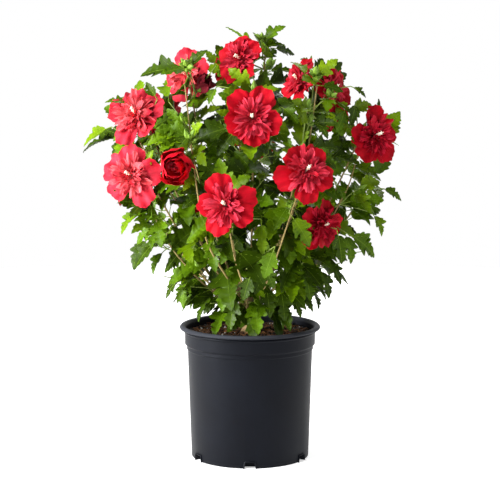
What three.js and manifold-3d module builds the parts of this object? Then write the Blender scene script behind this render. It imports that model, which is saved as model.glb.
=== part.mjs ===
// A double-flowered hibiscus shrub (rose of Sharon) in its black nursery pot.
//
// Millimetres, +Z up. The origin is the middle of the pot's flat underside, and -Y is the front.
// An azimuth is measured round the pot's axis from the front, and is positive towards +X.
// The pot holds a plug of potting mix. A short trunk stands on the mix and carries the boughs on
// its knobbly head. Where a bough ends, one mass of foliage takes over: a stem with side twigs,
// leaves, buds and blooms that all keep to their own space in the crown.
import * as THREE from "three";
import { mergeVertices } from "three/addons/utils/BufferGeometryUtils.js";
import Module from "manifold-3d";

const wasm = await Module();
wasm.setup();

// ---- driving sizes ---------------------------------------------------------------------------

const CLEAR = 0.3; // between two pieces that touch
const POT_SIDES = 32; // facets round the pot
const MIX_SIDES = 16; // every second facet of the pot

const POT_HEIGHT = 219;
const POT_RIM_RADIUS = 116;
const POT_FOOT_RADIUS = 97;
const POT_SHOULDER_HEIGHT = 186; // where the wall steps out to the plain band
const POT_SHOULDER_RADIUS = 104;
const POT_BAND_RADIUS = 107.8;
const POT_LIP_HEIGHT = 6.5;
const POT_WALL = 2.2;
const POT_FLOOR_TOP = 6;
const POT_FLOOR_RECESS = 2.5;
const POT_PAD_RADIUS = 20; // the flat pad in the middle of the underside
const NOTCH_COUNT = 6;
const NOTCH_WIDTH = 18;
const NOTCH_HEIGHT = 9.5;

const MIX_TOP = 206;
const MIX_EDGE_TOP = 203.5;
const MIX_ROUGHNESS = 1.8;

const TRUNK_SIDES = 10;
const TRUNK_FLARE_RADIUS = 16;
const TRUNK_WAIST_RADIUS = 11;
const TRUNK_HEAD_RADIUS = 18;
const TRUNK_HEAD_HEIGHT = 233; // centre of the head
const TRUNK_WAIST_HEIGHT = 217;

const BOUGH_SIDES = 4;
const BOUGH_FOOT_RADIUS = 2.5;
const BOUGH_TIP_RADIUS = 1.9;
const STEM_SIDES = 4;
const STEM_GAP = 0.6; // between a bough's tip and the stem of its mass
const STEM_TIP_RADIUS = 1.4;
const TWIG_RADIUS = 0.95;
const STALK_RADIUS = 0.85;
const ARCH = 1.35; // how much flatter a shoot starts than its chord
const STEEPEST_START = 80; // the most that a shoot's start leans out
const LINE_STEPS = 24; // straight runs in a shoot's line

const NODE_SPACING = 23; // between leaf nodes along a stem or twig
const SKIRT_SPACING = 15; // and along the short stems at the bottom of the crown
const SKIRT_BARE = 40; // those stems have boughs shorter than this
const GOLDEN_ANGLE = 137.5;
const TWIG_ANGLE = 52; // of a side twig to its stem
const TWIG_LENGTH = 84;
const INNER_TWIG_SHARE = 0.6; // of that length, for a twig that points into the crown
const TWIG_LIFT = 0.12; // how far a twig curves up, as a share of its length
const TWIG_CUT = 12; // a twig that leaves its space is shortened by this until it fits
const LEAF_LENGTH = 62;
const LOW_LEAF_SHARE = 1.16; // of a leaf at the bottom of the crown, and at its top
const HIGH_LEAF_SHARE = 0.94;
const LOW_DROOP = 0.85; // how far the leaves hang at the bottom of the crown, and at its top
const HIGH_DROOP = -0.1;
const LEAF_WIDTH_SHARE = 0.66;
const LEAF_THICKNESS = 1.5;
const PETIOLE_SHARE = 0.24;
const LOBE_SHARE = 0.52; // how far along a leaf it is widest
const LEAF_ASIDE = 0.8; // how a blade's direction is mixed: square to its twig,
const LEAF_ALONG = 0.3; // along the twig,
const LEAF_OUTWARD = 0.5; // and away from the crown's middle
const LEAF_SINK = 0.2; // how far past the twig's middle a leaf's root goes
const RIM_KEEP_OFF = 5.4; // of a leaf inside the pot's wall
const LEAF_ROLL = 1.0; // the furthest that a blade turns about its midrib, in radians
const BUD_RADIUS = 5.5;
const BUD_HALF = 9;
const SEED = 4481;
const CROWN_BOTTOM = 250;
const CROWN_TOP = 690;

const SPACE_MARGIN = 3; // difference between the distances to two masses' stems
const BLOOM_HOLD = 3; // how much faster distance grows round a bloom than round a stem
const BLOOM_RIM = 6;
const BLOOM_BACK = 24; // from a bloom's middle back to its calyx

// The crown's outline, as heights and radii.
const CROWN_OUTLINE = [
  [215, 80], [250, 122], [300, 178], [350, 204], [400, 224], [450, 240], [570, 250],
  [600, 228], [630, 192], [660, 128], [690, 76], [712, 30],
];

// ---- the shoots and the blooms -----------------------------------------------------------------

// Each shoot: its name, the azimuth, reach and height of its tip, and the length of its bare bough.
const SHOOTS = [
  ["top", 70, 26, 668, 95],
  ["upper_left", -78, 104, 636, 90],
  ["upper_right", 80, 108, 632, 90],
  ["back_top", -166, 96, 636, 90],
  ["left", -75, 176, 570, 80],
  ["front_left", -37, 160, 540, 80],
  ["centre", 3, 112, 606, 84],
  ["front_right", 30, 160, 515, 76],
  ["right", 74, 186, 540, 80],
  ["back_right", 134, 178, 545, 80],
  ["back", 178, 172, 505, 74],
  ["back_left", -134, 178, 548, 80],
  ["left_low", -62, 186, 482, 66],
  ["front_low", -12, 178, 452, 62],
  ["right_mid", 98, 196, 446, 62],
  ["back_right_low", 150, 196, 412, 58],
  ["back_left_low", -108, 198, 440, 62],
  ["right_low", 52, 156, 402, 52],
  ["left_skirt", -88, 128, 352, 34],
  ["back_low", -160, 172, 400, 52],
  ["front_skirt_left", -50, 106, 322, 30],
  ["front_skirt", -6, 92, 312, 26],
  ["front_skirt_right", 38, 104, 318, 30],
  ["right_skirt", 86, 122, 338, 34],
  ["back_skirt", -176, 112, 322, 30],
  ["back_skirt_left", -132, 112, 322, 30],
  ["back_skirt_right", 132, 112, 320, 30],
].map(([name, azimuth, reach, height, bare], index) => ({
  name,
  azimuth,
  reach,
  height,
  bare,
  index,
}));

// Each bloom: its shoot, the azimuth, radius and height of its middle, the azimuth and rise that
// it faces, its radius, and how far it has opened.
const FRONT_BLOOMS = [
  ["top", -24, 44, 653, -28, 10, 40, "open"],
  ["upper_left", -98, 107, 627, -32, 14, 45, "open"],
  ["upper_left", -58, 86, 613, 35, 30, 19, "closed"],
  ["left", -72, 192, 566, -20, 24, 49, "open"],
  ["left_low", -63, 211, 472, -24, 6, 49, "open"],
  ["front_left", -34, 199, 490, -8, -4, 25, "closed"],
  ["centre", 1, 165, 564, 0, 4, 47, "open"],
  ["front_low", -10, 218, 436, -12, 8, 46, "open"],
  ["front_right", 25, 203, 485, 16, 16, 46, "open"],
  ["upper_right", 52, 98, 620, -52, 22, 37, "open"],
  ["upper_right", 69, 141, 606, 42, 10, 38, "open"],
  ["right", 76, 207, 531, 34, 6, 46, "open"],
  ["right_low", 41, 171, 397, 38, -4, 43, "open"],
];

// And the shoots round the back that end in an open bloom, which faces outward.
const END_BLOOM_RADIUS = 45;
const END_BLOOM_STAND = 26; // of a bloom's middle beyond its shoot's tip
const END_BLOOM_RISE = 14;
const END_BLOOM_SHOOTS = [
  "back_top",
  "back_right",
  "back",
  "back_left",
  "back_right_low",
  "back_left_low",
  "back_low",
];

// Aimed leaves that give the crown its furthest tips: the shoot, then the azimuth, radius and
// height that the leaf's tip comes to, and how far its foot is down the stem where that isn't 16.
const AIMED_LEAVES = [
  ["top", -90, 39, 706],
  ["top", 90, 64, 676],
  ["top", 150, 44, 690],
  ["upper_left", -112, 190, 633, 120],
  ["upper_left", -84, 80, 672, 8],
  ["upper_right", 90, 150, 651],
  ["upper_right", 112, 82, 664, 8],
  ["right", 88, 192, 593],
  ["right", 100, 252, 565, 70],
  ["right_mid", 90, 248, 512],
  ["right_mid", 90, 252, 424],
  ["right_mid", 88, 214, 368],
  ["right_skirt", 88, 205, 335],
  ["right_skirt", 80, 166, 320],
  ["right_skirt", 84, 150, 284],
  ["right_skirt", 96, 128, 262],
  ["left", -88, 238, 584],
  ["left", -90, 275, 514],
  ["back_left_low", -98, 242, 474, 50],
  ["left_low", -80, 215, 400],
  ["left_skirt", -92, 211, 369],
  ["left_skirt", -80, 196, 312, 30],
  ["left_skirt", -94, 162, 303],
  ["left_skirt", -84, 130, 264],
  ["front_skirt_left", -62, 128, 262],
  ["front_skirt_left", -42, 124, 246],
  ["front_skirt", -20, 110, 232],
  ["front_skirt", 6, 96, 216],
  ["front_skirt_right", 32, 124, 238],
  ["front_skirt_right", 54, 128, 250],
  ["back_skirt", 170, 128, 250],
  ["back_skirt", -160, 130, 262],
];

// ---- small helpers -------------------------------------------------------------------------------

const UP = new THREE.Vector3(0, 0, 1);
const radians = THREE.MathUtils.degToRad;
const lerp = THREE.MathUtils.lerp;
const clamp = THREE.MathUtils.clamp;

const at = (azimuth, radius, height) =>
  new THREE.Vector3(
    radius * Math.sin(radians(azimuth)),
    -radius * Math.cos(radians(azimuth)),
    height,
  );
const facing = (azimuth, rise) =>
  at(azimuth, Math.cos(radians(rise)), Math.sin(radians(rise)));

// A repeatable stream of numbers from 0 to 1.
function seeded(seed) {
  let state = (seed * 2654435761) >>> 0;
  return () => {
    state = (Math.imul(state, 1664525) + 1013904223) >>> 0;
    return state / 4294967296;
  };
}

// Two directions square to an axis, the first as level as it can be.
function squareTo(axis) {
  const level = Math.abs(axis.z) > 0.99 ? new THREE.Vector3(1, 0, 0) : UP;
  const across = new THREE.Vector3().crossVectors(level, axis).normalize();
  return [across, new THREE.Vector3().crossVectors(axis, across)];
}

function distanceToLine(p, points) {
  let least = Infinity;
  for (let i = 0; i + 1 < points.length; i++) {
    const nearest = new THREE.Line3(points[i], points[i + 1])
      .closestPointToPoint(p, true, new THREE.Vector3());
    least = Math.min(least, nearest.distanceTo(p));
  }
  return least;
}

function geometryOf(vertices, triangles) {
  return new THREE.BufferGeometry()
    .setAttribute("position", new THREE.Float32BufferAttribute(vertices, 3))
    .setIndex(triangles);
}

function solidOf(geometry) {
  const bare = geometry.clone();
  bare.deleteAttribute("normal");
  bare.deleteAttribute("uv");
  const merged = mergeVertices(bare, 1e-4);
  return new wasm.Manifold(
    new wasm.Mesh({
      numProp: 3,
      vertProperties: new Float32Array(merged.attributes.position.array),
      triVerts: new Uint32Array(merged.index.array),
    }),
  );
}

function geometryOfSolid(solid) {
  const mesh = solid.getMesh();
  return geometryOf(Array.from(mesh.vertProperties), Array.from(mesh.triVerts));
}

// A closed body through rings of points that all have the same count.
function loft(rings) {
  const count = rings[0].length;
  const vertices = rings.flat().flatMap((p) => [p.x, p.y, p.z]);
  const triangles = [];
  for (let r = 0; r + 1 < rings.length; r++)
    for (let i = 0; i < count; i++) {
      const [a, b] = [r * count + i, r * count + ((i + 1) % count)];
      triangles.push(a, b, b + count, a, b + count, a + count);
    }
  const last = (rings.length - 1) * count;
  for (let i = 1; i + 1 < count; i++)
    triangles.push(0, i + 1, i, last, last + i, last + i + 1);
  return geometryOf(vertices, triangles);
}

// A limb of round section along points, tapering evenly from one radius to the other.
function limb(points, footRadius, tipRadius, sides) {
  let across = null;
  const rings = points.map((p, i) => {
    const before = points[Math.max(i - 1, 0)];
    const after = points[Math.min(i + 1, points.length - 1)];
    const along = after.clone().sub(before).normalize();
    across = across
      ? across.clone().addScaledVector(along, -across.dot(along)).normalize()
      : squareTo(along)[0];
    const other = new THREE.Vector3().crossVectors(along, across);
    const radius = lerp(footRadius, tipRadius, i / (points.length - 1));
    return Array.from({ length: sides }, (_, k) => {
      const turn = (k / sides) * 2 * Math.PI;
      return p
        .clone()
        .addScaledVector(across, radius * Math.cos(turn))
        .addScaledVector(other, radius * Math.sin(turn));
    });
  });
  return loft(rings);
}

// ---- pot, potting mix and trunk ------------------------------------------------------------------

function turned(profile, sides) {
  const points = profile.map(([radius, height]) => new THREE.Vector2(radius, height));
  return new THREE.LatheGeometry(points, sides).rotateX(Math.PI / 2);
}

// The radius of the pot's outer wall below the shoulder.
const wallRadius = (height) =>
  lerp(POT_FOOT_RADIUS, POT_SHOULDER_RADIUS, height / POT_SHOULDER_HEIGHT);

function potGeometry() {
  const lipBottom = POT_HEIGHT - POT_LIP_HEIGHT;
  const band = POT_BAND_RADIUS;
  const body = solidOf(
    turned([
      [0, 0],
      [POT_PAD_RADIUS, 0],
      [POT_PAD_RADIUS + 2, POT_FLOOR_RECESS],
      [POT_FOOT_RADIUS - 10, POT_FLOOR_RECESS],
      [POT_FOOT_RADIUS - 8, 0],
      [POT_FOOT_RADIUS, 0],
      [POT_SHOULDER_RADIUS, POT_SHOULDER_HEIGHT],
      [band - 0.6, POT_SHOULDER_HEIGHT + 3],
      [band, lipBottom],
      [POT_RIM_RADIUS, lipBottom + 1],
      [POT_RIM_RADIUS - 0.6, POT_HEIGHT - 2.5],
      [POT_RIM_RADIUS - 3.5, POT_HEIGHT],
      [POT_RIM_RADIUS - 7.5, POT_HEIGHT],
      [band - POT_WALL, POT_HEIGHT - 5],
      [band - 0.6 - POT_WALL, POT_SHOULDER_HEIGHT + 3],
      [POT_SHOULDER_RADIUS - POT_WALL, POT_SHOULDER_HEIGHT],
      [wallRadius(POT_FLOOR_TOP) - POT_WALL, POT_FLOOR_TOP],
      [0, POT_FLOOR_TOP],
    ], POT_SIDES),
  );
  const notches = Array.from({ length: NOTCH_COUNT }, (_, i) =>
    solidOf(
      new THREE.BoxGeometry(NOTCH_WIDTH, 24, 2 * NOTCH_HEIGHT)
        .translate(0, -POT_FOOT_RADIUS - 4, 0)
        .rotateZ((i / NOTCH_COUNT) * 2 * Math.PI),
    ),
  );
  return geometryOfSolid(body.subtract(wasm.Manifold.union(notches)));
}

// The mix fills the pot to a little below the rim. It is level round the trunk and rough elsewhere.
function mixGeometry() {
  const inside = (height) => wallRadius(height) - POT_WALL - 2 * CLEAR;
  const shoulder = POT_SHOULDER_HEIGHT + CLEAR;
  const band = POT_BAND_RADIUS - POT_WALL - 4 * CLEAR;
  const geometry = turned([
    [0, POT_FLOOR_TOP + CLEAR],
    [inside(POT_FLOOR_TOP + CLEAR), POT_FLOOR_TOP + CLEAR],
    [inside(shoulder), shoulder],
    [band - 0.6, shoulder + 3.3],
    [band, MIX_EDGE_TOP],
    [82, MIX_TOP - 1],
    [58, MIX_TOP],
    [TRUNK_FLARE_RADIUS + 8, MIX_TOP],
    [0, MIX_TOP],
  ], MIX_SIDES);
  const position = geometry.getAttribute("position");
  for (let i = 0; i < position.count; i++) {
    const p = new THREE.Vector3().fromBufferAttribute(position, i);
    const radius = Math.hypot(p.x, p.y);
    const rough = radius > 50 && radius < 90 && p.z > MIX_TOP - 2;
    const wave = Math.sin(p.x * 0.21 + 1.3) * Math.cos(p.y * 0.17 - 0.6);
    if (rough) position.setZ(i, p.z + MIX_ROUGHNESS * wave);
  }
  return geometry;
}

// The short trunk: a root flare at the flat cut, a waist, and the head that the boughs spring from.
function trunkGeometry(grown) {
  const head = TRUNK_HEAD_HEIGHT;
  const profile = [
    [MIX_TOP + CLEAR, TRUNK_FLARE_RADIUS],
    [MIX_TOP + 5, TRUNK_WAIST_RADIUS + 2],
    [TRUNK_WAIST_HEIGHT, TRUNK_WAIST_RADIUS],
    [head - 12, TRUNK_HEAD_RADIUS * 0.82],
    [head, TRUNK_HEAD_RADIUS],
    [head + 11, TRUNK_HEAD_RADIUS * 0.86],
    [head + 18, TRUNK_HEAD_RADIUS * 0.5],
  ];
  const rings = profile.map(([height, radius], level) =>
    Array.from({ length: TRUNK_SIDES }, (_, k) => {
      const knob = level ? 1 : 1 + 0.14 * Math.cos(k * Math.PI); // the flare is lobed
      const azimuth = 180 - (k / TRUNK_SIDES) * 360;
      return at(-azimuth, radius * knob + grown, height + (level === profile.length - 1 ? grown : 0));
    }),
  );
  return loft(rings);
}

// ---- the shoots' lines and spaces ------------------------------------------------------------------

// A shoot starts out on the head, flatter than its chord, and arches up to its tip.
function shootCurve(shoot) {
  const head = new THREE.Vector3(0, 0, TRUNK_HEAD_HEIGHT);
  const tip = at(shoot.azimuth, shoot.reach, shoot.height);
  const chord = tip.distanceTo(head);
  const lean = Math.atan2(shoot.reach, shoot.height - TRUNK_HEAD_HEIGHT);
  const start = Math.min(lean * ARCH, radians(STEEPEST_START));
  const outward = at(shoot.azimuth, Math.sin(start), Math.cos(start));
  const foot = head.clone().addScaledVector(outward, TRUNK_HEAD_RADIUS - 4);
  const control = foot.clone().addScaledVector(outward, chord * 0.42);
  return new THREE.QuadraticBezierCurve3(foot, control, tip);
}

for (const shoot of SHOOTS) {
  shoot.line = shootCurve(shoot).getPoints(LINE_STEPS);
  shoot.lengths = shoot.line.map((p, i, all) => (i ? p.distanceTo(all[i - 1]) : 0));
  shoot.lengths.forEach((_, i, all) => {
    if (i) all[i] += all[i - 1];
  });
  shoot.length = shoot.lengths[LINE_STEPS];
  shoot.blooms = [];
}

// The point on a shoot's line at a distance from its foot, and the line's direction there.
function along(shoot, distance) {
  const d = clamp(distance, 0, shoot.length);
  let i = 0;
  while (i < LINE_STEPS - 1 && shoot.lengths[i + 1] < d) i++;
  const [a, b] = [shoot.line[i], shoot.line[i + 1]];
  const share = (d - shoot.lengths[i]) / (shoot.lengths[i + 1] - shoot.lengths[i]);
  return { point: a.clone().lerp(b, share), direction: b.clone().sub(a).normalize() };
}

const shootNamed = (name) => SHOOTS.find((shoot) => shoot.name === name);

for (const [name, azimuth, radius, height, faceAzimuth, faceRise, size, state] of FRONT_BLOOMS)
  shootNamed(name).blooms.push({
    middle: at(azimuth, radius, height),
    face: facing(faceAzimuth, faceRise),
    size,
    state,
  });
for (const name of END_BLOOM_SHOOTS) {
  const shoot = shootNamed(name);
  const face = facing(shoot.azimuth, END_BLOOM_RISE);
  shoot.blooms.push({
    middle: along(shoot, shoot.length).point.addScaledVector(face, END_BLOOM_STAND),
    face,
    size: END_BLOOM_RADIUS,
    state: "open",
  });
}

// How far a point is from what a mass grows on: its shoot's line and its blooms.
function spaceDistance(p, shoot) {
  let least = distanceToLine(p, shoot.coarse);
  for (const bloom of shoot.blooms)
    least = Math.min(least, BLOOM_RIM + BLOOM_HOLD * (p.distanceTo(bloom.middle) - bloom.size));
  return least;
}
for (const shoot of SHOOTS)
  shoot.coarse = shoot.line.filter((_, i) => i % 3 === 0);

function inOwnSpace(p, shoot) {
  const own = spaceDistance(p, shoot) + SPACE_MARGIN;
  return SHOOTS.every((other) => other === shoot || spaceDistance(p, other) > own);
}

// Inside the crown's outline, which spreads from the rim and rounds over at the top.
function inCrown(p) {
  const above = CROWN_OUTLINE.findIndex(([height]) => height > p.z);
  if (above < 1) return above === 0;
  const [[low, narrow], [high, wide]] = CROWN_OUTLINE.slice(above - 1, above + 1);
  return Math.hypot(p.x, p.y) < lerp(narrow, wide, (p.z - low) / (high - low));
}

// Clear of the mix inside the rim, and above the rim elsewhere.
function clearOfPot(p) {
  const inside = Math.hypot(p.x, p.y) < POT_BAND_RADIUS - POT_WALL - RIM_KEEP_OFF;
  return p.z > (inside ? MIX_TOP + 3 : POT_HEIGHT + 4);
}

// The bare boughs and the trunk, as points that a leaf keeps off.
const LIMB_POINTS = [];
for (const shoot of SHOOTS)
  for (let d = 0; d <= shoot.bare + 2; d += 4)
    LIMB_POINTS.push(along(shoot, d).point);
for (let z = MIX_TOP; z < TRUNK_HEAD_HEIGHT + 20; z += 4)
  LIMB_POINTS.push(new THREE.Vector3(0, 0, z));
const LIMB_KEEP_OFF = BOUGH_FOOT_RADIUS + 1.6;

// ---- leaves, buds and blooms -------------------------------------------------------------------------

// A leaf's own directions: along the blade, across it, and out of its upper side.
function leafFrame(root, twigDirection, turn, luck, length) {
  const [across, other] = squareTo(twigDirection);
  const aside = across
    .multiplyScalar(Math.cos(turn))
    .addScaledVector(other, Math.sin(turn));
  const outward = new THREE.Vector3(root.x, root.y, 0).normalize();
  const rise = clamp((root.z - CROWN_BOTTOM) / (CROWN_TOP - CROWN_BOTTOM), 0, 1);
  const droop = lerp(LOW_DROOP, HIGH_DROOP, rise) + 0.4 * (luck[0] - 0.5);
  const grown = length * lerp(LOW_LEAF_SHARE, HIGH_LEAF_SHARE, rise);
  const blade = aside
    .multiplyScalar(LEAF_ASIDE)
    .addScaledVector(twigDirection, LEAF_ALONG)
    .addScaledVector(outward, LEAF_OUTWARD)
    .addScaledVector(UP, -droop)
    .normalize();
  return leafAlong(root, blade, LEAF_ROLL * (2 * luck[1] - 1), grown);
}

// The upper side looks up and outward, and each blade has its own roll about its midrib.
function leafAlong(root, blade, roll, length) {
  const outward = new THREE.Vector3(root.x, root.y, 0).normalize();
  const upper = outward.multiplyScalar(0.75).addScaledVector(UP, 0.7);
  upper.addScaledVector(blade, -upper.dot(blade)).normalize();
  upper.applyAxisAngle(blade, roll);
  const width = new THREE.Vector3().crossVectors(upper, blade);
  return { root, blade, width, upper, length };
}

// A place on a leaf: its share of the length from the root, and of the half width to one side.
function onLeaf(leaf, share, side, lift) {
  return leaf.root
    .clone()
    .addScaledVector(leaf.blade, leaf.length * (1 + PETIOLE_SHARE) * share)
    .addScaledVector(leaf.width, leaf.length * LEAF_WIDTH_SHARE * 0.5 * side)
    .addScaledVector(leaf.upper, lift);
}

const LEAF_PROBES = [
  [0.25, 0], [0.5, 0], [0.75, 0], [1, 0],
  [0.52, 1], [0.52, -1], [0.52, 0.5], [0.52, -0.5],
  [0.76, 0.5], [0.76, -0.5], [0.3, 0.5], [0.3, -0.5],
];

// A leaf that finds no room is turned round its twig, then made smaller.
const LEAF_TRIES = [
  [0, 1], [0.8, 1], [-0.8, 1], [1.6, 1], [-1.6, 1], [3.1, 1],
  [0, 0.72], [0.9, 0.72], [-0.9, 0.72], [2, 0.72], [-2, 0.72],
  [0, 0.5], [1.2, 0.5], [-1.2, 0.5],
];
const AIMED_TRIES = [
  [1.1, 1], [-1.1, 1], [0.5, 1], [-0.5, 1], [0, 1], [0.9, 0.8], [-0.9, 0.8], [0, 0.8],
];

const leafTries = ({ root, direction, turn, luck, length, blade }) =>
  blade
    ? AIMED_TRIES.map(([roll, share]) => leafAlong(root, blade, roll, length * share))
    : LEAF_TRIES.map(([shift, share]) =>
        leafFrame(root, direction, turn + shift, luck, length * share),
      ).filter((leaf) => inCrown(onLeaf(leaf, 1, 0, 0)));

// Clear of the pot, of other masses' spaces, of the mass's own blooms, and of every limb.
function leafFits(leaf, shoot, ownPoints) {
  const places = LEAF_PROBES.map(([share, side]) => onLeaf(leaf, share, side, 0));
  if (!places.every((p) => clearOfPot(p) && inOwnSpace(p, shoot))) return false;
  const inBloom = shoot.blooms.some((bloom) =>
    places.some((p) => {
      const offset = p.clone().sub(bloom.middle);
      const forward = offset.dot(bloom.face);
      const radial = Math.sqrt(Math.max(offset.lengthSq() - forward * forward, 0)) / bloom.size;
      return radial < 0.96 && forward > -BLOOM_BACK * (1 - radial) - 4;
    }),
  );
  if (inBloom) return false;
  const reach = leaf.length * (1 + PETIOLE_SHARE);
  const onLimb = (q, least) => {
    const offset = q.clone().sub(leaf.root);
    const [u, v, w] = [leaf.blade, leaf.width, leaf.upper].map((axis) => offset.dot(axis));
    const share = u / reach;
    const half = share < LOBE_SHARE ? share / LOBE_SHARE : (1 - share) / (1 - LOBE_SHARE);
    const edge = leaf.length * LEAF_WIDTH_SHARE * 0.5 * half + 2;
    return u > least && u < reach + 2 && Math.abs(v) < edge && Math.abs(w) < LIMB_KEEP_OFF;
  };
  return !LIMB_POINTS.some((q) => onLimb(q, -3)) && !ownPoints.some((q) => onLimb(q, 6));
}

// Whether an edge of one leaf goes through the blade of another, away from the roots.
function leavesCross(leaf, other) {
  const corners = [[0.1, 0], [LOBE_SHARE, 1], [1, 0], [LOBE_SHARE, -1], [0.1, 0], [1, 0]];
  const places = corners.map(([share, side]) => onLeaf(leaf, share, side, 0));
  for (let i = 0; i + 1 < places.length; i++) {
    const [a, b] = [places[i], places[i + 1]].map((p) => p.clone().sub(other.root));
    const [over, under] = [a.dot(other.upper), b.dot(other.upper)];
    if (over * under > 0) continue;
    const x = a.lerp(b, over / (over - under));
    const share = x.dot(other.blade) / (other.length * (1 + PETIOLE_SHARE));
    const side = x.dot(other.width) / (other.length * LEAF_WIDTH_SHARE * 0.5);
    const half = share < LOBE_SHARE ? share / LOBE_SHARE : (1 - share) / (1 - LOBE_SHARE);
    if (share > 0.05 && Math.abs(side) < half + 0.06) return true;
  }
  return false;
}

// A leaf of six faces: a flat underside from the root through two side lobes to the tip, and a
// thin middle above it.
function leafGeometry(leaf) {
  const points = [
    onLeaf(leaf, 0, 0, 0).addScaledVector(leaf.blade, -LEAF_SINK),
    onLeaf(leaf, LOBE_SHARE, 1, 0),
    onLeaf(leaf, 1, 0, 0),
    onLeaf(leaf, LOBE_SHARE, -1, 0),
    onLeaf(leaf, LOBE_SHARE, 0, LEAF_THICKNESS),
  ];
  const triangles = [0, 4, 1, 1, 4, 2, 2, 4, 3, 3, 4, 0, 0, 1, 3, 1, 2, 3];
  return geometryOf(points.flatMap((p) => [p.x, p.y, p.z]), triangles);
}

// An open double bloom: five notched petals as one dished, crowned body with its calyx behind.
function bloomGeometry(bloom) {
  const [across, other] = squareTo(bloom.face);
  const place = (turn, radius, forward) =>
    bloom.middle
      .clone()
      .addScaledVector(across, radius * Math.cos(turn))
      .addScaledVector(other, radius * Math.sin(turn))
      .addScaledVector(bloom.face, forward);
  const step = Math.PI / 5;
  const r = bloom.size;
  const rim = Array.from({ length: 10 }, (_, i) =>
    i % 2 ? place(i * step, r * 0.84, r * 0.02) : place(i * step, r, r * 0.12),
  );
  const crown = Array.from({ length: 5 }, (_, i) => place((2 * i + 1) * step, r * 0.45, r * 0.34));
  const points = [...rim, ...crown, place(0, 0, r * 0.3), place(0, 0, -BLOOM_BACK)];
  const triangles = [];
  for (let i = 0; i < 10; i++) triangles.push(i, 16, (i + 1) % 10);
  for (let i = 0; i < 5; i++) {
    const [notch, tip, before] = [2 * i + 1, (2 * i + 2) % 10, 2 * i];
    const [ring, next] = [10 + i, 10 + ((i + 1) % 5)];
    triangles.push(before, notch, ring, notch, tip, ring, tip, next, ring, ring, next, 15);
  }
  return geometryOf(points.flatMap((p) => [p.x, p.y, p.z]), triangles);
}

// A bud: a pointed body of eight faces.
function budGeometry(middle, axis) {
  const [across, other] = squareTo(axis);
  const ring = [0.6, 2.2, 3.7, 5.3].map((turn) =>
    middle
      .clone()
      .addScaledVector(across, BUD_RADIUS * Math.cos(turn))
      .addScaledVector(other, BUD_RADIUS * Math.sin(turn)),
  );
  const [back, front] = [-1, 1].map((side) => middle.clone().addScaledVector(axis, side * BUD_HALF));
  const triangles = [];
  for (let i = 0; i < 4; i++) triangles.push(i, (i + 1) % 4, 5, (i + 1) % 4, i, 4);
  return geometryOf([...ring, back, front].flatMap((p) => [p.x, p.y, p.z]), triangles);
}

// A closed bloom: a blunt egg shape of six sides.
function eggGeometry(middle, axis, radius, half) {
  const [across, other] = squareTo(axis);
  const ring = (share, forward) =>
    Array.from({ length: 6 }, (_, k) => {
      const turn = (k / 6) * 2 * Math.PI;
      return middle
        .clone()
        .addScaledVector(across, radius * share * Math.cos(turn))
        .addScaledVector(other, radius * share * Math.sin(turn))
        .addScaledVector(axis, half * forward);
    });
  return loft([ring(0.3, -1), ring(0.95, -0.35), ring(0.9, 0.4), ring(0.3, 1)]);
}

// ---- one mass of foliage ---------------------------------------------------------------------------

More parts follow.
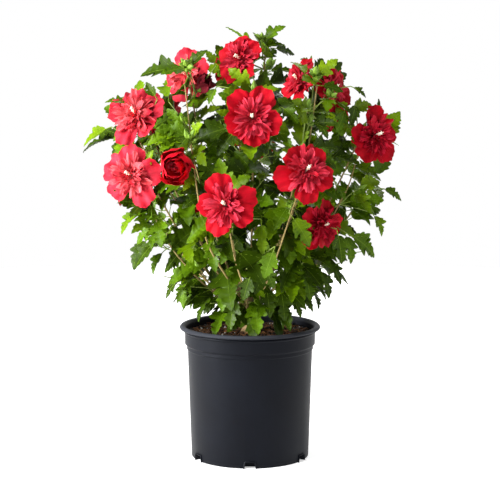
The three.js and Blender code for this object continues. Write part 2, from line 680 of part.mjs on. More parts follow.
// A mass grows its limbs first, and then sets each leaf where it clears them and the other leaves.
function growMass(shoot) {
  const chance = seeded(SEED + shoot.index);
  const pieces = [];
  const wanted = []; // leaves to place: root, twig direction, turn round it, length, or a blade
  const ownPoints = [];
  const stemStart = shoot.bare + STEM_GAP;
  const stemLength = shoot.length - stemStart;

  const addLimb = (points, footRadius, tipRadius, sides) => {
    pieces.push(limb(points, footRadius, tipRadius, sides));
    for (let i = 0; i + 1 < points.length; i++) {
      const count = Math.ceil(points[i].distanceTo(points[i + 1]) / 5);
      for (let k = 0; k < count; k++)
        ownPoints.push(points[i].clone().lerp(points[i + 1], k / count));
    }
  };
  const wantLeaf = (root, direction, turn, length) => {
    const luck = [chance(), chance()];
    wanted.push({ root, direction, turn, luck, length: length * (0.85 + 0.3 * chance()) });
  };

  // The stem carries on from the bough's tip in a few straight runs.
  const stemSteps = Math.max(3, Math.round(stemLength / 60));
  const stem = Array.from({ length: stemSteps + 1 }, (_, i) =>
    along(shoot, stemStart + (stemLength * i) / stemSteps).point,
  );
  addLimb(stem, BOUGH_TIP_RADIUS, STEM_TIP_RADIUS, STEM_SIDES);
  const onStem = (distance) => {
    const share = clamp((distance - stemStart) / stemLength, 0, 1) * stemSteps;
    const i = Math.min(Math.floor(share), stemSteps - 1);
    return {
      point: stem[i].clone().lerp(stem[i + 1], share - i),
      direction: stem[i + 1].clone().sub(stem[i]).normalize(),
    };
  };
  const nearestOnStem = (target) => {
    let best = stemStart;
    for (let d = stemStart; d <= shoot.length; d += 4)
      if (onStem(d).point.distanceTo(target) < onStem(best).point.distanceTo(target)) best = d;
    return best;
  };

  const addTwig = (root, direction, turn, length) => {
    const [across, other] = squareTo(direction);
    const aside = across.multiplyScalar(Math.cos(turn)).addScaledVector(other, Math.sin(turn));
    const way = direction
      .clone()
      .multiplyScalar(Math.cos(radians(TWIG_ANGLE)))
      .addScaledVector(aside, Math.sin(radians(TWIG_ANGLE)))
      .normalize();
    const outward = new THREE.Vector3(root.x, root.y, 0).normalize();
    const open = clamp(0.5 + 0.5 * way.dot(outward), 0, 1);
    let reach = length * lerp(INNER_TWIG_SHARE, 1, open);
    const placeAt = (distance) =>
      root
        .clone()
        .addScaledVector(way, distance)
        .addScaledVector(UP, (TWIG_LIFT * distance * distance) / length);
    while (reach > NODE_SPACING) {
      const probes = [0.35, 0.7, 1].map((share) => placeAt(reach * share));
      if (probes.every((p) => clearOfPot(p) && inOwnSpace(p, shoot))) break;
      reach -= TWIG_CUT;
    }
    if (reach <= NODE_SPACING) return false;
    const middle = placeAt(reach * 0.5);
    const tip = placeAt(reach);
    addLimb([root, middle, tip], TWIG_RADIUS, TWIG_RADIUS * 0.75, 3);
    const nodes = Math.floor(reach / NODE_SPACING);
    for (let k = 1; k <= nodes; k++) {
      const share = k / (nodes + 0.35);
      const [a, b] = share < 0.5 ? [root, middle] : [middle, tip];
      const point = a.clone().lerp(b, share < 0.5 ? share * 2 : share * 2 - 1);
      wantLeaf(point, way, turn + k * Math.PI, LEAF_LENGTH * lerp(1.05, 0.85, share));
    }
    for (const side of [0.3, -0.45])
      wantLeaf(tip.clone().lerp(middle, 0.03), way, turn + side * Math.PI, LEAF_LENGTH * 0.8);
    return true;
  };

  // Blooms on stalks from a little way below them on the stem.
  for (const bloom of shoot.blooms) {
    const open = bloom.state === "open";
    const back = open ? BLOOM_BACK - 4 : bloom.size * 0.5;
    const end = bloom.middle.clone().addScaledVector(bloom.face, -back);
    const foot = onStem(Math.max(stemStart + 4, nearestOnStem(end) - 14)).point;
    addLimb([foot, end], STALK_RADIUS * 1.2, STALK_RADIUS * 1.6, 3);
    pieces.push(
      open
        ? bloomGeometry(bloom)
        : eggGeometry(bloom.middle, bloom.face, bloom.size, bloom.size * 1.05),
    );
  }

  // Aimed leaves, each on a twig of its own where its tip is far from the stem.
  for (const [name, azimuth, radius, height, down = 16] of AIMED_LEAVES) {
    if (name !== shoot.name) continue;
    const target = at(azimuth, radius, height);
    const foot = onStem(Math.max(stemStart + 2, nearestOnStem(target) - down)).point;
    const span = foot.distanceTo(target);
    const blade = target.clone().sub(foot).normalize();
    const full = Math.min(span, LEAF_LENGTH * (1 + PETIOLE_SHARE));
    const root = foot.clone().addScaledVector(blade, span - full);
    wanted.push({ root, blade, length: full / (1 + PETIOLE_SHARE) });
    if (span - full < 4) continue;
    addLimb([foot, root.clone().addScaledVector(blade, 0.5)], TWIG_RADIUS, TWIG_RADIUS * 0.75, 3);
    wantLeaf(root, blade, 0, LEAF_LENGTH * 0.85);
    wantLeaf(root, blade, Math.PI, LEAF_LENGTH * 0.85);
  }

  // Leaf nodes up the stem: every other one throws a side twig, and the rest one leaf.
  const firstTurn = chance() * 2 * Math.PI;
  const spacing = shoot.bare < SKIRT_BARE ? SKIRT_SPACING : NODE_SPACING;
  const nodes = Math.floor((stemLength - 8) / spacing);
  for (let k = 0; k < nodes; k++) {
    const share = k / nodes;
    const turn = firstTurn + k * radians(GOLDEN_ANGLE);
    const length = TWIG_LENGTH * lerp(1, 0.5, share) * (0.85 + 0.3 * chance());
    const { point, direction } = onStem(stemStart + 6 + k * spacing);
    const twig = k % 2 === 1 && share < 0.85 && addTwig(point, direction, turn, length);
    if (!twig) wantLeaf(point, direction, turn, LEAF_LENGTH * lerp(1.1, 0.9, share));
  }

  // The tip: a whorl of young leaves round a bud.
  const tip = onStem(shoot.length);
  for (let k = 0; k < 4; k++)
    wantLeaf(
      tip.point.clone().addScaledVector(tip.direction, -1 - 4 * k),
      tip.direction,
      firstTurn + 1 + k * radians(GOLDEN_ANGLE),
      LEAF_LENGTH * 0.78,
    );
  pieces.push(budGeometry(tip.point.clone().addScaledVector(tip.direction, 4), tip.direction));

  const leaves = [];
  for (const want of wanted)
    for (const leaf of leafTries(want)) {
      if (!leafFits(leaf, shoot, ownPoints)) continue;
      if (leaves.some((old) => leavesCross(leaf, old) || leavesCross(old, leaf))) continue;
      leaves.push(leaf);
      break;
    }
  const fused = wasm.Manifold.union([...pieces, ...leaves.map(leafGeometry)].map(solidOf));
  return geometryOfSolid(largest(fused.simplify(0.01)));
}

// The outer body of a fused solid, without scraps or sealed hollows.
function largest(solid) {
  return solid.decompose().reduce((a, b) => (b.volume() > a.volume() ? b : a));
}

// ---- the assembly ------------------------------------------------------------------------------------

const finish = (color, roughness) =>
  new THREE.MeshStandardMaterial({ color, roughness, metalness: 0 });
const POT_PLASTIC = finish(0x2e2f34, 0.45);
const POTTING_MIX = finish(0x3b2318, 1);
const BARK = finish(0x8a7350, 0.85);
const FOLIAGE = finish(0x47791c, 0.6);

const shrub = new THREE.Group();
shrub.name = "hibiscus_shrub";

function add(name, geometry, material) {
  const mesh = new THREE.Mesh(geometry, material);
  mesh.name = name;
  shrub.add(mesh);
}

add("pot", potGeometry(), POT_PLASTIC);
add("potting_mix", mixGeometry(), POTTING_MIX);
add("trunk", trunkGeometry(0), BARK);

const grownTrunk = solidOf(trunkGeometry(CLEAR));
for (const shoot of SHOOTS) {
  const points = [0, 1, 2, 3].map((i) => along(shoot, (shoot.bare * i) / 3).point);
  const bough = solidOf(limb(points, BOUGH_FOOT_RADIUS, BOUGH_TIP_RADIUS, BOUGH_SIDES));
  add("bough_" + shoot.name, geometryOfSolid(largest(bough.subtract(grownTrunk))), BARK);
}
for (const shoot of SHOOTS) add("foliage_" + shoot.name, growMass(shoot), FOLIAGE);

export default shrub;
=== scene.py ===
import math
from collections import namedtuple

import bpy
import numpy as np
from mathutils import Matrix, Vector, noise


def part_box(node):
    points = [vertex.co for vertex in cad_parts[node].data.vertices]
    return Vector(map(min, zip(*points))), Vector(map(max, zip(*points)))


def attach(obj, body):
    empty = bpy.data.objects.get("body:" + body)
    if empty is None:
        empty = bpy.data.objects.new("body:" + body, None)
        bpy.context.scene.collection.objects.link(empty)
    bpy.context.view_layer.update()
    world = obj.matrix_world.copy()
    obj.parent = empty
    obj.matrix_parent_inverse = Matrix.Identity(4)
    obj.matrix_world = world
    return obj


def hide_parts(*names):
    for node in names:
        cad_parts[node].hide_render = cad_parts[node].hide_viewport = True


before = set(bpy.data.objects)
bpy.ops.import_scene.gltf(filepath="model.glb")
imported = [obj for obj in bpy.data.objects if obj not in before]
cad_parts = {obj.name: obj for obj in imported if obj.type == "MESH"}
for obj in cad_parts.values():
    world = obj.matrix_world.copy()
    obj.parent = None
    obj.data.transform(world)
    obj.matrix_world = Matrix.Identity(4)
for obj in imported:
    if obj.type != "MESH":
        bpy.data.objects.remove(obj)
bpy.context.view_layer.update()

MM = 0.001

# ---- sizes of the pot, the mix and the trunk ----

pot_corner = np.array(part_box("pot")[1]) / MM
POT_HEIGHT = pot_corner[2]
POT_RIM_RADIUS = pot_corner[0]
POT_FOOT_RADIUS = 97
POT_SHOULDER_HEIGHT = 186
POT_SHOULDER_RADIUS = 104
POT_BAND_RADIUS = 107.8
POT_LIP_HEIGHT = 6.5
POT_WALL = 2.2
POT_FLOOR_TOP = 6
POT_FLOOR_RECESS = 2.5
POT_PAD_RADIUS = 20
NOTCH_COUNT = 6
NOTCH_WIDTH = 18
NOTCH_TOP_WIDTH = 15
NOTCH_HEIGHT = 10.5
NOTCH_DEPTH = 14
NOTCH_FRAME = 2.0
POT_RING_WIDTH = 20

MIX_TOP = 206
MIX_EDGE_TOP = 203.5
MIX_RADIUS = POT_BAND_RADIUS - POT_WALL - 1

MIX_BOTTOM = 6.3
BARE_MIDDLE = 19  # the radius round the trunk that is free of loose bits

TRUNK_FOOT = 206.3
TRUNK_TOP = 251.5
TRUNK_HEAD_HEIGHT = 233
TRUNK_HEAD_RADIUS = 18

# ---- sizes of the growth, as in the solids' rule ----

STEM_GAP = 0.6
ARCH = 1.35
NODE_SPACING = 23
SKIRT_SPACING = 15
SKIRT_BARE = 40  # a shoot whose bare bough is shorter is one of the skirt
GOLDEN_ANGLE = math.radians(137.5)
TWIG_ANGLE = math.radians(52)
TWIG_LENGTH = 84
LEAF_LENGTH = 62
LOW_LEAF_SHARE = 1.16
HIGH_LEAF_SHARE = 0.94
LOW_DROOP = 0.85
HIGH_DROOP = -0.1
LEAF_WIDTH_SHARE = 0.66
PETIOLE_SHARE = 0.24
LOBE_SHARE = 0.52
LEAF_ROLL = 1.0
RIM_KEEP_OFF = 5.4
LEAVES_OVER_MIX = MIX_TOP + 3
LEAVES_OVER_RIM = 223
SEED = 4481
CROWN_BOTTOM = 250
CROWN_TOP = 690
SPACE_MARGIN = 3
BLOOM_HOLD = 3
BLOOM_RIM = 6
BLOOM_BACK = 24
LIMB_KEEP_OFF = 4.1
TIP_BUD_SIZE = 5.5
LINE_STEPS = 24

# The crown's outline, as heights and radii.
CROWN_OUTLINE = np.array([
    (215, 80), (250, 122), (300, 178), (350, 204), (400, 224), (450, 240), (570, 250),
    (600, 228), (630, 192), (660, 128), (690, 76), (712, 30),
], float)

# Each shoot: its name, the azimuth, reach and height of its tip, and the length of its bare bough.
SHOOTS = [
    ("top", 70, 26, 668, 95),
    ("upper_left", -78, 104, 636, 90),
    ("upper_right", 80, 108, 632, 90),
    ("back_top", -166, 96, 636, 90),
    ("left", -75, 176, 570, 80),
    ("front_left", -37, 160, 540, 80),
    ("centre", 3, 112, 606, 84),
    ("front_right", 30, 160, 515, 76),
    ("right", 74, 186, 540, 80),
    ("back_right", 134, 178, 545, 80),
    ("back", 178, 172, 505, 74),
    ("back_left", -134, 178, 548, 80),
    ("left_low", -62, 186, 482, 66),
    ("front_low", -12, 178, 452, 62),
    ("right_mid", 98, 196, 446, 62),
    ("back_right_low", 150, 196, 412, 58),
    ("back_left_low", -108, 198, 440, 62),
    ("right_low", 52, 156, 402, 52),
    ("left_skirt", -88, 128, 352, 34),
    ("back_low", -160, 172, 400, 52),
    ("front_skirt_left", -50, 106, 322, 30),
    ("front_skirt", -6, 92, 312, 26),
    ("front_skirt_right", 38, 104, 318, 30),
    ("right_skirt", 86, 122, 338, 34),
    ("back_skirt", -176, 112, 322, 30),
    ("back_skirt_left", -132, 112, 322, 30),
    ("back_skirt_right", 132, 112, 320, 30),
]

# Each bloom: its shoot, the azimuth, radius and height of its middle, the azimuth and rise that it
# faces, its radius, and its state: red, light or deep ones are open, and the rest are closed. The
# light state is painted light, a paler red for the blooms on the lit left, and the deep state is
# painted shade, a darker red for those on the shaded right.
BLOOMS = [
    ("top", -24, 44, 653, -28, 10, 40, "red"),
    ("upper_left", -98, 107, 627, -32, 14, 45, "light"),
    ("upper_left", -58, 86, 613, 35, 30, 19, "spent"),
    ("left", -72, 192, 566, -20, 24, 49, "light"),
    ("left_low", -63, 211, 472, -24, 6, 49, "light"),
    ("front_left", -34, 199, 490, -8, -4, 25, "half_open"),
    ("centre", 1, 165, 564, 0, 4, 47, "red"),
    ("front_low", -10, 218, 436, -12, 8, 46, "red"),
    ("front_right", 25, 203, 485, 16, 16, 46, "red"),
    ("upper_right", 52, 98, 620, -52, 22, 37, "red"),
    ("upper_right", 69, 141, 606, 42, 10, 38, "red"),
    ("right", 76, 207, 531, 34, 6, 46, "painted_shade"),
    ("right_low", 41, 171, 397, 38, -4, 43, "painted_shade"),
]
OPEN_STATES = ("red", "light", "painted_shade")
END_BLOOM_SHOOTS = (
    "back_top", "back_right", "back", "back_left", "back_right_low", "back_left_low", "back_low",
)
END_BLOOM_RADIUS = 45
END_BLOOM_STAND = 26
END_BLOOM_RISE = 14

# Aimed leaves that give the crown its furthest tips: the shoot, then the azimuth, radius and height
# that the leaf's tip comes to, and how far its foot is down the stem where that isn't 16.
AIMED_LEAVES = [
    ("top", -90, 39, 706),
    ("top", 90, 64, 676),
    ("top", 150, 44, 690),
    ("upper_left", -112, 190, 633, 120),
    ("upper_left", -84, 80, 672, 8),
    ("upper_right", 90, 150, 651),
    ("upper_right", 112, 82, 664, 8),
    ("right", 88, 192, 593),
    ("right", 100, 252, 565, 70),
    ("right_mid", 90, 248, 512),
    ("right_mid", 90, 252, 424),
    ("right_mid", 88, 214, 368),
    ("right_skirt", 88, 205, 335),
    ("right_skirt", 80, 166, 320),
    ("right_skirt", 84, 150, 284),
    ("right_skirt", 96, 128, 262),
    ("left", -88, 238, 584),
    ("left", -90, 275, 514),
    ("back_left_low", -98, 242, 474, 50),
    ("left_low", -80, 215, 400),
    ("left_skirt", -92, 211, 369),
    ("left_skirt", -80, 196, 312, 30),
    ("left_skirt", -94, 162, 303),
    ("left_skirt", -84, 130, 264),
    ("front_skirt_left", -62, 128, 262),
    ("front_skirt_left", -42, 124, 246),
    ("front_skirt", -20, 110, 232),
    ("front_skirt", 6, 96, 216),
    ("front_skirt_right", 32, 124, 238),
    ("front_skirt_right", 54, 128, 250),
    ("back_skirt", 170, 128, 250),
    ("back_skirt", -160, 130, 262),
]

# Slender stems that rise from the trunk's head: the share of each from which nothing hides it and
# to which, and then its azimuths, radii and heights.
OPEN_STEMS = [
    (0.55, 1.0, [(-20, 75, 290), (-24, 160, 370), (-26, 184, 455), (-45, 143, 612)]),
    (0.74, 0.95, [(11, 97, 285), (14, 170, 353), (20, 197, 437), (22, 203, 462)]),
    (0.3, 0.56, [(-4, 60, 262), (-5, 126, 302), (-9, 152, 349), (-10, 200, 420)]),
    (0.62, 0.95, [(30, 70, 330), (31, 146, 440), (36, 155, 524), (46, 145, 612)]),
    (0.6, 0.85, [(55, 110, 340), (65, 166, 441), (71, 181, 499), (76, 196, 520)]),
    (0.3, 0.5, [(-40, 78, 310), (-50, 117, 383), (-60, 150, 450), (-71, 187, 525)]),
    (0.35, 0.75, [(-53, 75, 280), (-60, 119, 325), (-64, 146, 363), (-69, 171, 419)]),
]

# Clusters of buds at the ends of twigs: the azimuth, radius and height, how many, and their size.
BUD_CLUSTERS = [
    (-44, 140, 642, 6, 5.0),
    (-31, 176, 530, 7, 4.4),
    (-36, 173, 557, 2, 3.6),
    (44, 28, 684, 5, 4.2),
    (44, 145, 626, 6, 4.8),
    (35, 153, 578, 3, 4.2),
    (37, 153, 556, 3, 4.4),
    (-58, 181, 393, 1, 5.2),
    (68, 186, 448, 1, 5.0),
    (21, 171, 430, 2, 4.0),
    (53, 157, 594, 2, 4.6),
    (-150, 150, 600, 4, 4.6),
    (165, 120, 640, 5, 4.6),
    (128, 170, 590, 4, 4.6),
    (-110, 200, 560, 4, 4.6),
]

# More aimed leaves, which need no space of their own: the azimuth, radius and height of the tip,
# and then of the foot.
OPEN_LEAVES = [
    ((-71, 185, 634), (-45, 142, 636)), ((-80, 236, 588), (-78, 196, 578)),
    ((-70, 175, 618), (-66, 160, 590)), ((-36, 112, 668), (-44, 136, 636)),
    ((74, 37, 679), (30, 26, 664)), ((103, 45, 669), (60, 22, 652)),
    ((61, 168, 604), (50, 140, 612)), ((64, 128, 656), (48, 132, 624)),
    ((50, 84, 650), (44, 128, 624)), ((81, 198, 586), (70, 168, 570)),
    ((-34, 205, 512), (-31, 172, 540)), ((-22, 190, 560), (-31, 172, 536)),
    ((-48, 196, 552), (-31, 172, 528)), ((46, 190, 560), (37, 150, 552)),
    ((24, 190, 580), (35, 150, 572)), ((-18, 103, 226), (-14, 84, 284)),
    ((7, 107, 221), (4, 86, 282)), ((-57, 128, 257), (-60, 108, 312)),
    ((-69, 167, 311), (-71, 144, 348)), ((-75, 195, 318), (-77, 165, 369)),
    ((71, 155, 293), (74, 128, 336)), ((79, 204, 341), (81, 167, 368)),
    ((70, 172, 327), (73, 157, 378)), ((65, 140, 271), (67, 118, 320)),
    ((50, 126, 270), (54, 108, 322)), ((-24, 109, 256), (-22, 90, 312)),
    ((17, 109, 247), (16, 92, 300)), ((30, 110, 239), (31, 92, 296)),
    ((26, 144, 335), (29, 130, 384)), ((8, 141, 352), (8, 126, 406)),
    ((-22, 142, 324), (-27, 128, 374)), ((35, 186, 426), (35, 162, 464)),
    ((31, 177, 365), (29, 147, 416)), ((28, 195, 371), (18, 192, 421)),
    ((43, 207, 339), (44, 193, 392)), ((66, 217, 347), (51, 193, 384)),
    ((7, 173, 319), (12, 184, 370)), ((14, 155, 301), (7, 159, 340)),
    ((-5, 128, 278), (1, 134, 323)), ((64, 143, 519), (67, 157, 560)),
    ((68, 162, 535), (69, 141, 584)), ((62, 154, 538), (68, 163, 578)),
    ((66, 172, 548), (72, 176, 586)), ((-85, 270, 517), (-81, 224, 545)),
    ((22, 173, 520), (16, 141, 543)), ((28, 158, 555), (22, 129, 579)),
    ((51, 189, 435), (51, 173, 462)), ((-69, 199, 322), (-67, 156, 369)),
    ((-28, 136, 584), (-26, 117, 611)), ((72, 193, 593), (69, 170, 610)),
    ((49, 108, 242), (48, 90, 272)), ((74, 219, 372), (73, 202, 410)),
    ((-41, 106, 667), (-37, 88, 643)), ((-71, 217, 378), (-71, 184, 418)),
    ((63, 155, 546), (62, 127, 569)), ((70, 172, 568), (68, 144, 585)),
    ((57, 146, 528), (57, 128, 556)), ((85, 247, 428), (82, 212, 446)),
]

# Open spots in the crown as it is seen from the front, level with its middle: how far across, how
# high, and how wide.
SKY_GAPS = np.array([
    (-173, 383, 18), (182, 378, 17), (-145, 304, 18), (39, 643, 16), (-131, 651, 13),
    (-146, 643, 12), (-149, 334, 16), (220, 421, 16), (39, 667, 12), (156, 314, 16), (39, 696, 10),
    (221, 476, 12), (122, 540, 12), (130, 291, 12), (185, 583, 9),
    (107, 657, 10), (-223, 517, 8), (175, 344, 12), (107, 571, 8),
    (-155, 444, 8), (-206, 512, 8), (-86, 662, 8), (-160, 604, 8),
], float)


# ---- camera, floor and lights ----

scene = bpy.context.scene


def linked(name, data):
    made = bpy.data.objects.new(name, data)
    scene.collection.objects.link(made)
    return made


def to_linear(hex_colour):
    """An sRGB colour such as "#2E2F34", as linear values with a full alpha."""
    shares = [int(hex_colour[i:i + 2], 16) / 255 for i in (1, 3, 5)]
    linear = [c / 12.92 if c <= 0.04045 else ((c + 0.055) / 1.055) ** 2.4 for c in shares]
    return (*linear, 1.0)


def add_node(tree, kind, settings=None, links=None):
    """Adds a node. Settings go to its sockets or own properties, and links come from outputs."""
    made = tree.nodes.new(kind)
    for name, value in (settings or {}).items():
        if isinstance(name, int) or name in made.inputs.keys():
            made.inputs[name].default_value = value
        else:
            setattr(made, name, value)
    for name, output in (links or {}).items():
        tree.links.new(output, made.inputs[name])
    return made


def new_material(name):
    """A material, its node tree, its shader, and the place on the piece, in metres."""
    material = bpy.data.materials.new(name)
    material.use_nodes = True
    tree = material.node_tree
    shader = tree.nodes["Principled BSDF"]
    place = add_node(tree, "ShaderNodeTexCoord").outputs["Object"]
    return material, tree, shader, place


def dappled(name, patches, stops, bump, settings, relief=None, stretch=None):
    """A finish of soft patches of colour over a fine relief: the settings of the patches' noise,
    the places and colours that it ramps through, those of the bump and of the shader, and the
    kind and settings of the relief's own pattern where it isn't the patches. Returns also the tree,
    the shader and the patches, for a finish that adds to them."""
    material, tree, shader, place = new_material(name)
    links = {"Vector": place}
    if stretch:
        mapping = add_node(tree, "ShaderNodeMapping", {"Scale": stretch}, links)
        links = {"Vector": mapping.outputs["Vector"]}
    cloud = add_node(tree, "ShaderNodeTexNoise", patches, links).outputs["Fac"]
    ramp = add_node(tree, "ShaderNodeValToRGB", {}, {"Fac": cloud})
    elements = ramp.color_ramp.elements
    for position, colour in stops:
        elements.new(position).color = to_linear(colour)
    elements.remove(elements[-1])
    elements.remove(elements[0])
    height = add_node(tree, *relief, links).outputs[0] if relief else cloud
    raised = add_node(tree, "ShaderNodeBump", bump, {"Height": height})
    tree.links.new(ramp.outputs["Color"], shader.inputs["Base Color"])
    tree.links.new(raised.outputs["Normal"], shader.inputs["Normal"])
    for key, value in settings.items():
        shader.inputs[key].default_value = value
    return material, tree, shader, cloud


CAMERA_DISTANCE = 2.5
CAMERA_HEIGHT = 0.652
CAMERA_PITCH = 7.07
camera = linked("camera", bpy.data.cameras.new("camera"))
camera.data.lens = 110.6
camera.data.sensor_width = 36
camera.location = (0, -CAMERA_DISTANCE, CAMERA_HEIGHT)
camera.rotation_euler = (math.radians(90 - CAMERA_PITCH), 0, 0)
scene.camera = camera
scene.view_settings.view_transform = "Standard"


def studio_light(name, place, aim, size, power):
    light = linked(name, bpy.data.lights.new(name, "AREA"))
    light.data.shape = "DISK"
    light.data.size = size
    light.data.energy = power
    light.location = place
    light.rotation_euler = (Vector(aim) - Vector(place)).to_track_quat("-Z", "Y").to_euler()


studio_light("key_light", (-1.7, -1.7, 2.5), (0, 0, 0.45), 0.8, 100)
studio_light("side_light", (2.4, -0.9, 1.6), (0, 0, 0.4), 1.2, 10)
studio_light("low_light", (-2.1, -0.8, 0.5), (0, 0, 0.2), 0.7, 84)
studio_light("back_light", (0.7, 2.3, 2.3), (0, 0, 0.45), 1.4, 48)


def studio_world():
    """A white surround at eye level that dims overhead and in front, on the right, so that the
    crown's inside and the pot's right side stay dark."""
    world = bpy.data.worlds.new("studio")
    world.use_nodes = True
    tree = world.node_tree
    way = add_node(tree, "ShaderNodeTexCoord").outputs["Generated"]
    height = add_node(tree, "ShaderNodeSeparateXYZ", {}, {"Vector": way}).outputs["Z"]
    overhead = add_node(
        tree, "ShaderNodeMapRange",
        {"From Min": 0.14, "From Max": 0.5, "To Min": 1.0, "To Max": 0.3}, {"Value": height},
    )
    towards = add_node(tree, "ShaderNodeVectorMath", {"operation": "DOT_PRODUCT"}, {0: way})
    towards.inputs[1].default_value = (0.6, -0.8, 0.0)
    in_front = add_node(
        tree, "ShaderNodeMapRange",
        {"From Min": 0.0, "From Max": 0.8, "To Min": 1.0, "To Max": 0.4},
        {"Value": towards.outputs["Value"]},
    )
    glow = add_node(
        tree, "ShaderNodeMath", {"operation": "MULTIPLY"},
        {0: overhead.outputs["Result"], 1: in_front.outputs["Result"]},
    )
    tree.nodes["Background"].inputs["Color"].default_value = (1.0, 1.0, 1.0, 1.0)
    tree.links.new(glow.outputs["Value"], tree.nodes["Background"].inputs["Strength"])
    scene.world = world


studio_world()


def studio_floor():
    """A pale round floor, bright enough to run into the surround."""
    radius, sides = 2.4, 96
    turns = [k / sides * 2 * math.pi for k in range(sides)]
    mesh = bpy.data.meshes.new("floor")
    rim = [(radius * math.cos(turn), radius * math.sin(turn), 0) for turn in turns]
    mesh.from_pydata(rim, [], [tuple(range(sides))])
    floor = linked("floor", mesh)
    material, tree, shader, place = new_material("matt_white_paper")
    grain = add_node(tree, "ShaderNodeTexNoise", {"Scale": 220.0}, {"Vector": place})
    bump = add_node(tree, "ShaderNodeBump", {"Strength": 0.03}, {"Height": grain.outputs["Fac"]})
    tree.links.new(bump.outputs["Normal"], shader.inputs["Normal"])
    shader.inputs["Base Color"].default_value = to_linear("#F7F7F7")
    shader.inputs["Roughness"].default_value = 0.9
    shader.inputs["Emission Color"].default_value = (1.0, 1.0, 1.0, 1.0)
    shader.inputs["Emission Strength"].default_value = 0.5
    mesh.materials.append(material)


studio_floor()


# ---- small helpers ----

UP = np.array((0.0, 0.0, 1.0))
ACROSS = np.array((1.0, 0.0, 0.0))
ALONG = np.array((0.0, 1.0, 0.0))
Leaf = namedtuple("Leaf", "root blade width upper length")
Bloom = namedtuple("Bloom", "shoot middle face size state")


def at(azimuth, radius, height):
    turn = math.radians(azimuth)
    return np.array((radius * math.sin(turn), -radius * math.cos(turn), height))


def facing(azimuth, rise):
    return at(azimuth, math.cos(math.radians(rise)), math.sin(math.radians(rise)))


def unit(v):
    return v / np.linalg.norm(v)


def outward_of(p):
    """The level direction from the pot's axis to a place."""
    return unit(np.array((p[0], p[1], 0)))


def mix(a, b, share):
    return a + (b - a) * share


def clamp(value, low, high):
    return min(max(value, low), high)


def square_to(axis):
    """Two directions square to an axis, the first as level as it can be."""
    across = unit(np.cross(ACROSS if abs(axis[2]) > 0.99 else UP, axis))
    return across, np.cross(axis, across)


def sideways(axis, turn):
    """The direction square to an axis at a turn round it."""
    across, other = square_to(axis)
    return across * math.cos(turn) + other * math.sin(turn)


def turned_about(v, axis, angle):
    """A place, or each of a set of them, turned about an axis."""
    cos, sin = math.cos(angle), math.sin(angle)
    return v * cos + np.cross(axis, v) * sin + axis * (v @ axis)[..., None] * (1 - cos)


class Chance:
    """A repeatable stream of numbers from 0 to 1, the same as the solids' own."""

    def __init__(self, seed):
        self.state = (seed * 2654435761) & 0xFFFFFFFF

    def __call__(self):
        self.state = (self.state * 1664525 + 1013904223) & 0xFFFFFFFF
        return self.state / 4294967296


class Part:
    """Points and faces of many small shapes that become one piece."""

    def __init__(self):
        self.points = []
        self.faces = []
        self.count = 0

    def add(self, points, *face_sets):
        points = np.asarray(points, float).reshape(-1, 3)
        self.points.append(points)
        self.faces += [np.asarray(faces, int) + self.count for faces in face_sets]
        self.count += len(points)

    def mesh(self, name):
        mesh = bpy.data.meshes.new(name)
        points = np.concatenate(self.points) * MM
        corners = np.concatenate([faces.ravel() for faces in self.faces])
        sizes = np.concatenate([np.full(len(faces), faces.shape[1]) for faces in self.faces])
        mesh.vertices.add(len(points))
        mesh.vertices.foreach_set("co", points.ravel())
        mesh.loops.add(len(corners))
        mesh.loops.foreach_set("vertex_index", corners.astype(np.int32))
        mesh.polygons.add(len(sizes))
        starts = np.concatenate([[0], np.cumsum(sizes)[:-1]])
        mesh.polygons.foreach_set("loop_start", starts.astype(np.int32))
        mesh.update(calc_edges=True)
        mesh.validate()
        return mesh


def finished(name, part, material, replaced=(), smooth_angle=180):
    """Turns a part into a piece that rides on the shrub's one body."""
    mesh = part.mesh(name)
    mesh.materials.append(material)
    mesh.shade_smooth()
    if smooth_angle < 180:
        mesh.set_sharp_from_angle(angle=math.radians(smooth_angle))
    piece = linked(name, mesh)
    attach(piece, "root")
    if replaced:
        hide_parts(*replaced)
    return piece


def grid_faces(rows, columns, closed=False):
    """The four-sided faces of a grid of points, row by row, whose rows may close on themselves."""
    across = columns if closed else columns - 1
    r, c = np.meshgrid(np.arange(rows - 1), np.arange(across), indexing="ij")
    a = (r * columns + c).ravel()
    b = (r * columns + (c + 1) % columns).ravel()
    return np.stack([a, b, b + columns, a + columns], axis=1)


def turns_of(sides):
    return np.arange(sides) / sides * 2 * math.pi


def add_rings(part, rings, first, last, flip=False):
    """Closed rings of points, with a fan to a point at either end. They face out if they go from
    low to high, and flip is for those that go from high to low."""
    rings = np.array(rings, float)
    rows, sides = rings.shape[:2]
    here = np.arange(sides)
    there = (here + 1) % sides
    faces = grid_faces(rows, sides, closed=True)
    if flip:
        here, there, faces = there, here, faces[:, ::-1]
    end = (rows - 1) * sides
    part.add(
        np.concatenate([rings.reshape(-1, 3), [first, last]]), faces,
        np.stack([there, here, np.full(sides, rows * sides)], axis=1),
        np.stack([end + here, end + there, np.full(sides, rows * sides + 1)], axis=1),
    )


def tube(part, points, radii, sides, wobble=None):
    """A limb of round section along points. wobble gives a share of the radius by step and turn."""
    points = np.asarray(points, float)
    ways = np.gradient(points, axis=0)
    ways /= np.linalg.norm(ways, axis=1)[:, None]
    turns = turns_of(sides)
    across = square_to(ways[0])[0]
    rings = []
    for i, (p, way, radius) in enumerate(zip(points, ways, radii)):
        across = unit(across - way * across.dot(way))
        other = np.cross(way, across)
        round_it = radius * (1 if wobble is None else 1 + wobble(i, turns))
        aside = np.outer(np.cos(turns) * round_it, across)
        rings.append(p + (aside + np.outer(np.sin(turns) * round_it, other)))
    foot = np.arange(sides)[::-1][None]
    tip = np.arange(sides)[None] + (len(points) - 1) * sides
    part.add(np.concatenate(rings), grid_faces(len(points), sides, closed=True), foot, tip)


# ---- the shoots' lines and spaces ----

